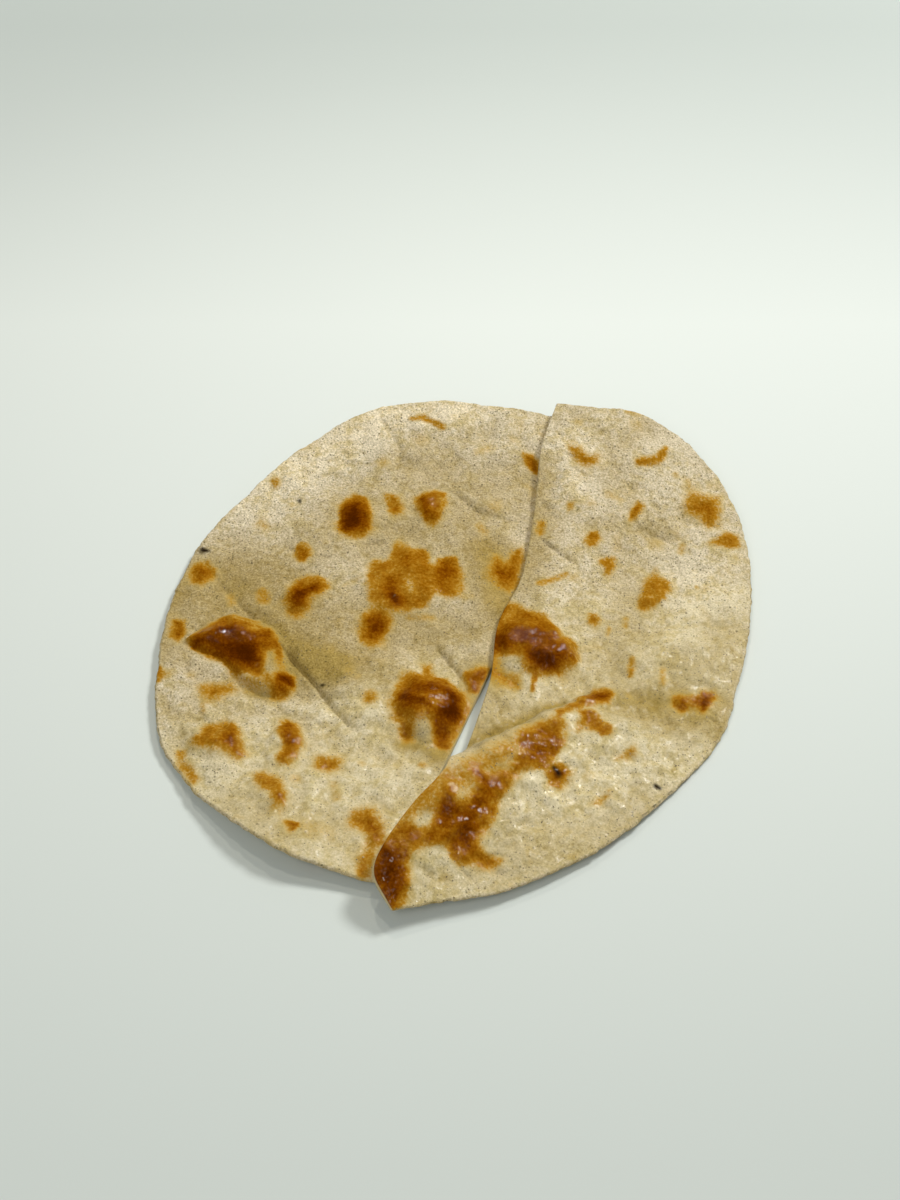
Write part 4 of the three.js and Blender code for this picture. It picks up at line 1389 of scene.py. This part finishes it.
def bran_tree(material):
    """Flat flakes strewn over a skin, half sunk in it, fewer under ghee and none where it is browned"""
    tree = bpy.data.node_groups.new("strewn bran", "GeometryNodeTree")
    sockets = tree.interface
    sockets.new_socket("Skin", in_out="INPUT", socket_type="NodeSocketGeometry")
    for name in ("Flakes per area", "Smallest", "Largest", "Flatness"):
        sockets.new_socket(name, in_out="INPUT", socket_type="NodeSocketFloat")
    sockets.new_socket("Seed", in_out="INPUT", socket_type="NodeSocketInt")
    sockets.new_socket("Flakes", in_out="OUTPUT", socket_type="NodeSocketGeometry")
    given = add(tree, "NodeGroupInput").outputs
    up = add(tree, "GeometryNodeInputNormal").outputs[0]
    height = add(tree, "ShaderNodeSeparateXYZ", {0: up}).outputs["Z"]
    facing = add(
        tree, "FunctionNodeCompare", {0: height, 1: BRAN_FACES_UP}, operation="GREATER_THAN",
    ).outputs[0]
    browned, ghee = (
        add(tree, "GeometryNodeInputNamedAttribute", {"Name": mark}, data_type="FLOAT").outputs[0]
        for mark in ("browning", "ghee")
    )
    unbrowned = add(
        tree, "FunctionNodeCompare", {0: browned, 1: BRAN_UP_TO_BROWN}, operation="LESS_THAN",
    ).outputs[0]
    bare = add(tree, "FunctionNodeBooleanMath", {0: facing, 1: unbrowned}, operation="AND").outputs[0]
    share = add(tree, "ShaderNodeMapRange", {"Value": ghee, 1: 0.0, 2: 0.65, 3: 1.0, 4: 0.8}).outputs[0]
    density = add(
        tree, "ShaderNodeMath", {0: given["Flakes per area"], 1: share}, operation="MULTIPLY",
    ).outputs[0]
    points = add(
        tree, "GeometryNodeDistributePointsOnFaces",
        {"Mesh": given["Skin"], "Selection": bare, "Density": density, "Seed": given["Seed"]},
    ).outputs
    flake = add(tree, "GeometryNodeMeshIcoSphere", {"Radius": 0.5, "Subdivisions": 1}).outputs["Mesh"]
    size = add(
        tree, "FunctionNodeRandomValue",
        {2: given["Smallest"], 3: given["Largest"], "Seed": given["Seed"]}, data_type="FLOAT",
    ).outputs[1]
    narrow = add(
        tree, "FunctionNodeRandomValue", {2: BRAN_WIDTH[0], 3: BRAN_WIDTH[1], "Seed": 5}, data_type="FLOAT",
    ).outputs[1]
    width = add(tree, "ShaderNodeMath", {0: size, 1: narrow}, operation="MULTIPLY").outputs[0]
    flat = add(tree, "ShaderNodeMath", {0: width, 1: given["Flatness"]}, operation="MULTIPLY").outputs[0]
    scale = add(tree, "ShaderNodeCombineXYZ", {"X": size, "Y": width, "Z": flat}).outputs[0]
    spin = add(
        tree, "FunctionNodeRandomValue", {2: 0.0, 3: FULL_TURN, "Seed": 9}, data_type="FLOAT",
    ).outputs[1]
    spun = add(tree, "ShaderNodeCombineXYZ", {"Z": spin}).outputs[0]
    turned = add(
        tree, "FunctionNodeRotateRotation", {"Rotation": points["Rotation"], "Rotate By": spun},
        rotation_space="LOCAL",
    ).outputs[0]
    strewn = add(
        tree, "GeometryNodeInstanceOnPoints",
        {"Points": points["Points"], "Instance": flake, "Rotation": turned, "Scale": scale},
    ).outputs[0]
    real = add(tree, "GeometryNodeRealizeInstances", {0: strewn}).outputs[0]
    dressed = add(tree, "GeometryNodeSetMaterial", {"Geometry": real, "Material": material}).outputs[0]
    add(tree, "NodeGroupOutput", {0: dressed})
    return tree


def strewn_bran(name, skin, tree, seed):
    values = {
        "Flakes per area": BRAN_PER_SQUARE_METRE, "Smallest": BRAN_LENGTH[0] * METRES,
        "Largest": BRAN_LENGTH[1] * METRES, "Flatness": BRAN_FLATNESS, "Seed": seed,
    }
    carrier = placed(name, skin.data.copy())
    modifier = carrier.modifiers.new("bran", "NODES")
    modifier.node_group = tree
    for socket in tree.interface.items_tree:
        if socket.in_out == "INPUT" and socket.name in values:
            modifier[socket.identifier] = values[socket.name]
    seen = carrier.evaluated_get(bpy.context.evaluated_depsgraph_get())
    mesh = bpy.data.meshes.new_from_object(seen)
    carrier.modifiers.remove(modifier)
    carrier.data = mesh
    mesh.name = name
    return carrier


# Floor, light and camera


def floor():
    side = FLOOR_SIDE
    mesh = bpy.data.meshes.new("floor")
    corners = [(-side, -side, 0), (side, -side, 0), (side, side, 0), (-side, side, 0)]
    mesh.from_pydata(corners, [], [(0, 1, 2, 3)])
    mesh.materials.append(studio_floor())
    placed("floor", mesh)


def soft_box(name, place, aim, size, watts, tint):
    light = bpy.data.lights.new(name, "AREA")
    light.shape = "DISK"
    light.size = size
    light.energy = watts
    light.color = linear(tint)[:3]
    light.spread = math.radians(SOFT_BOX_SPREAD_DEG)
    lamp = placed(name, light)
    lamp.location = place
    direction = np.array(aim) - np.array(place)
    flat = math.hypot(direction[0], direction[1])
    lamp.rotation_euler = (math.atan2(flat, -direction[2]), 0, math.atan2(-direction[0], direction[1]))


def studio():
    scene = bpy.context.scene
    scene.view_settings.view_transform = "Standard"
    for name, values in SOFT_BOXES.items():
        soft_box(name, *values)
    world = bpy.data.worlds.new("studio")
    world.use_nodes = True
    tree = world.node_tree
    ray = add(tree, "ShaderNodeLightPath").outputs
    lit = add(
        tree, "ShaderNodeMapRange", {"Value": ray["Is Glossy Ray"], 3: ROOM_LIGHT, 4: ROOM_MIRRORED},
    ).outputs[0]
    strength = add(
        tree, "ShaderNodeMapRange", {"Value": ray["Is Camera Ray"], 3: lit, 4: ROOM_SHOWN},
    ).outputs[0]
    background = tree.nodes["Background"]
    background.inputs["Color"].default_value = linear("#f4f8f6")
    tree.links.new(strength, background.inputs["Strength"])
    scene.world = world


def camera():
    data = bpy.data.cameras.new("camera")
    data.lens = LENS
    data.sensor_width = SENSOR
    up = math.radians(CAMERA_UP_DEG)
    pixels = LENS / SENSOR * PICTURE_HIGH
    pitch = up - math.atan(AIM_BELOW_MIDDLE / pixels)
    away = np.array([0, -math.cos(up), math.sin(up)]) * CAMERA_AWAY
    eye = placed("camera", data)
    eye.location = (np.array(AIM) + away) * METRES
    eye.rotation_euler = (math.pi / 2 - pitch, 0, 0)
    bpy.context.scene.camera = eye


# The two halves, each with the first of the seeds that its unevenness is drawn from

LEFT = {
    "rim": LEFT_RIM, "cut": LEFT_CUT, "lie": lie, "blisters": LEFT_BLISTERS, "puffs": LEFT_PUFFS,
    "creases": LEFT_CREASES, "browned": LEFT_BROWNED, "windows": LEFT_WINDOWS, "streaks": LEFT_STREAKS,
    "wet": LEFT_WET, "scorched": LEFT_SCORCHED, "shade_and_thin": LEFT_SHADE_AND_THIN, "dry": LEFT_PAINTED_LIGHT, "seed": 100,
}
RIGHT = {
    "rim": RIGHT_RIM, "cut": RIGHT_CUT, "lie": right_lie, "blisters": RIGHT_BLISTERS, "puffs": RIGHT_PUFFS,
    "creases": RIGHT_CREASES, "browned": RIGHT_BROWNED, "windows": RIGHT_WINDOWS, "streaks": RIGHT_STREAKS,
    "wet": RIGHT_WET, "scorched": RIGHT_SCORCHED, "shade_and_thin": RIGHT_SHADE_AND_THIN, "dry": RIGHT_PAINTED_LIGHT, "seed": 200,
}


def main():
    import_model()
    camera()
    floor()
    studio()
    crust = baked_crust()
    bran = bran_tree(bran_flake())
    for side, half in (("left", LEFT), ("right", RIGHT)):
        sheet = half_sheet(f"{side}_half_crust", half, crust)
        flakes = strewn_bran(f"{side}_half_bran", sheet, bran, half["seed"])
        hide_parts(f"{side}_half")
        for piece in (sheet, flakes):
            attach(piece, "root")


main()
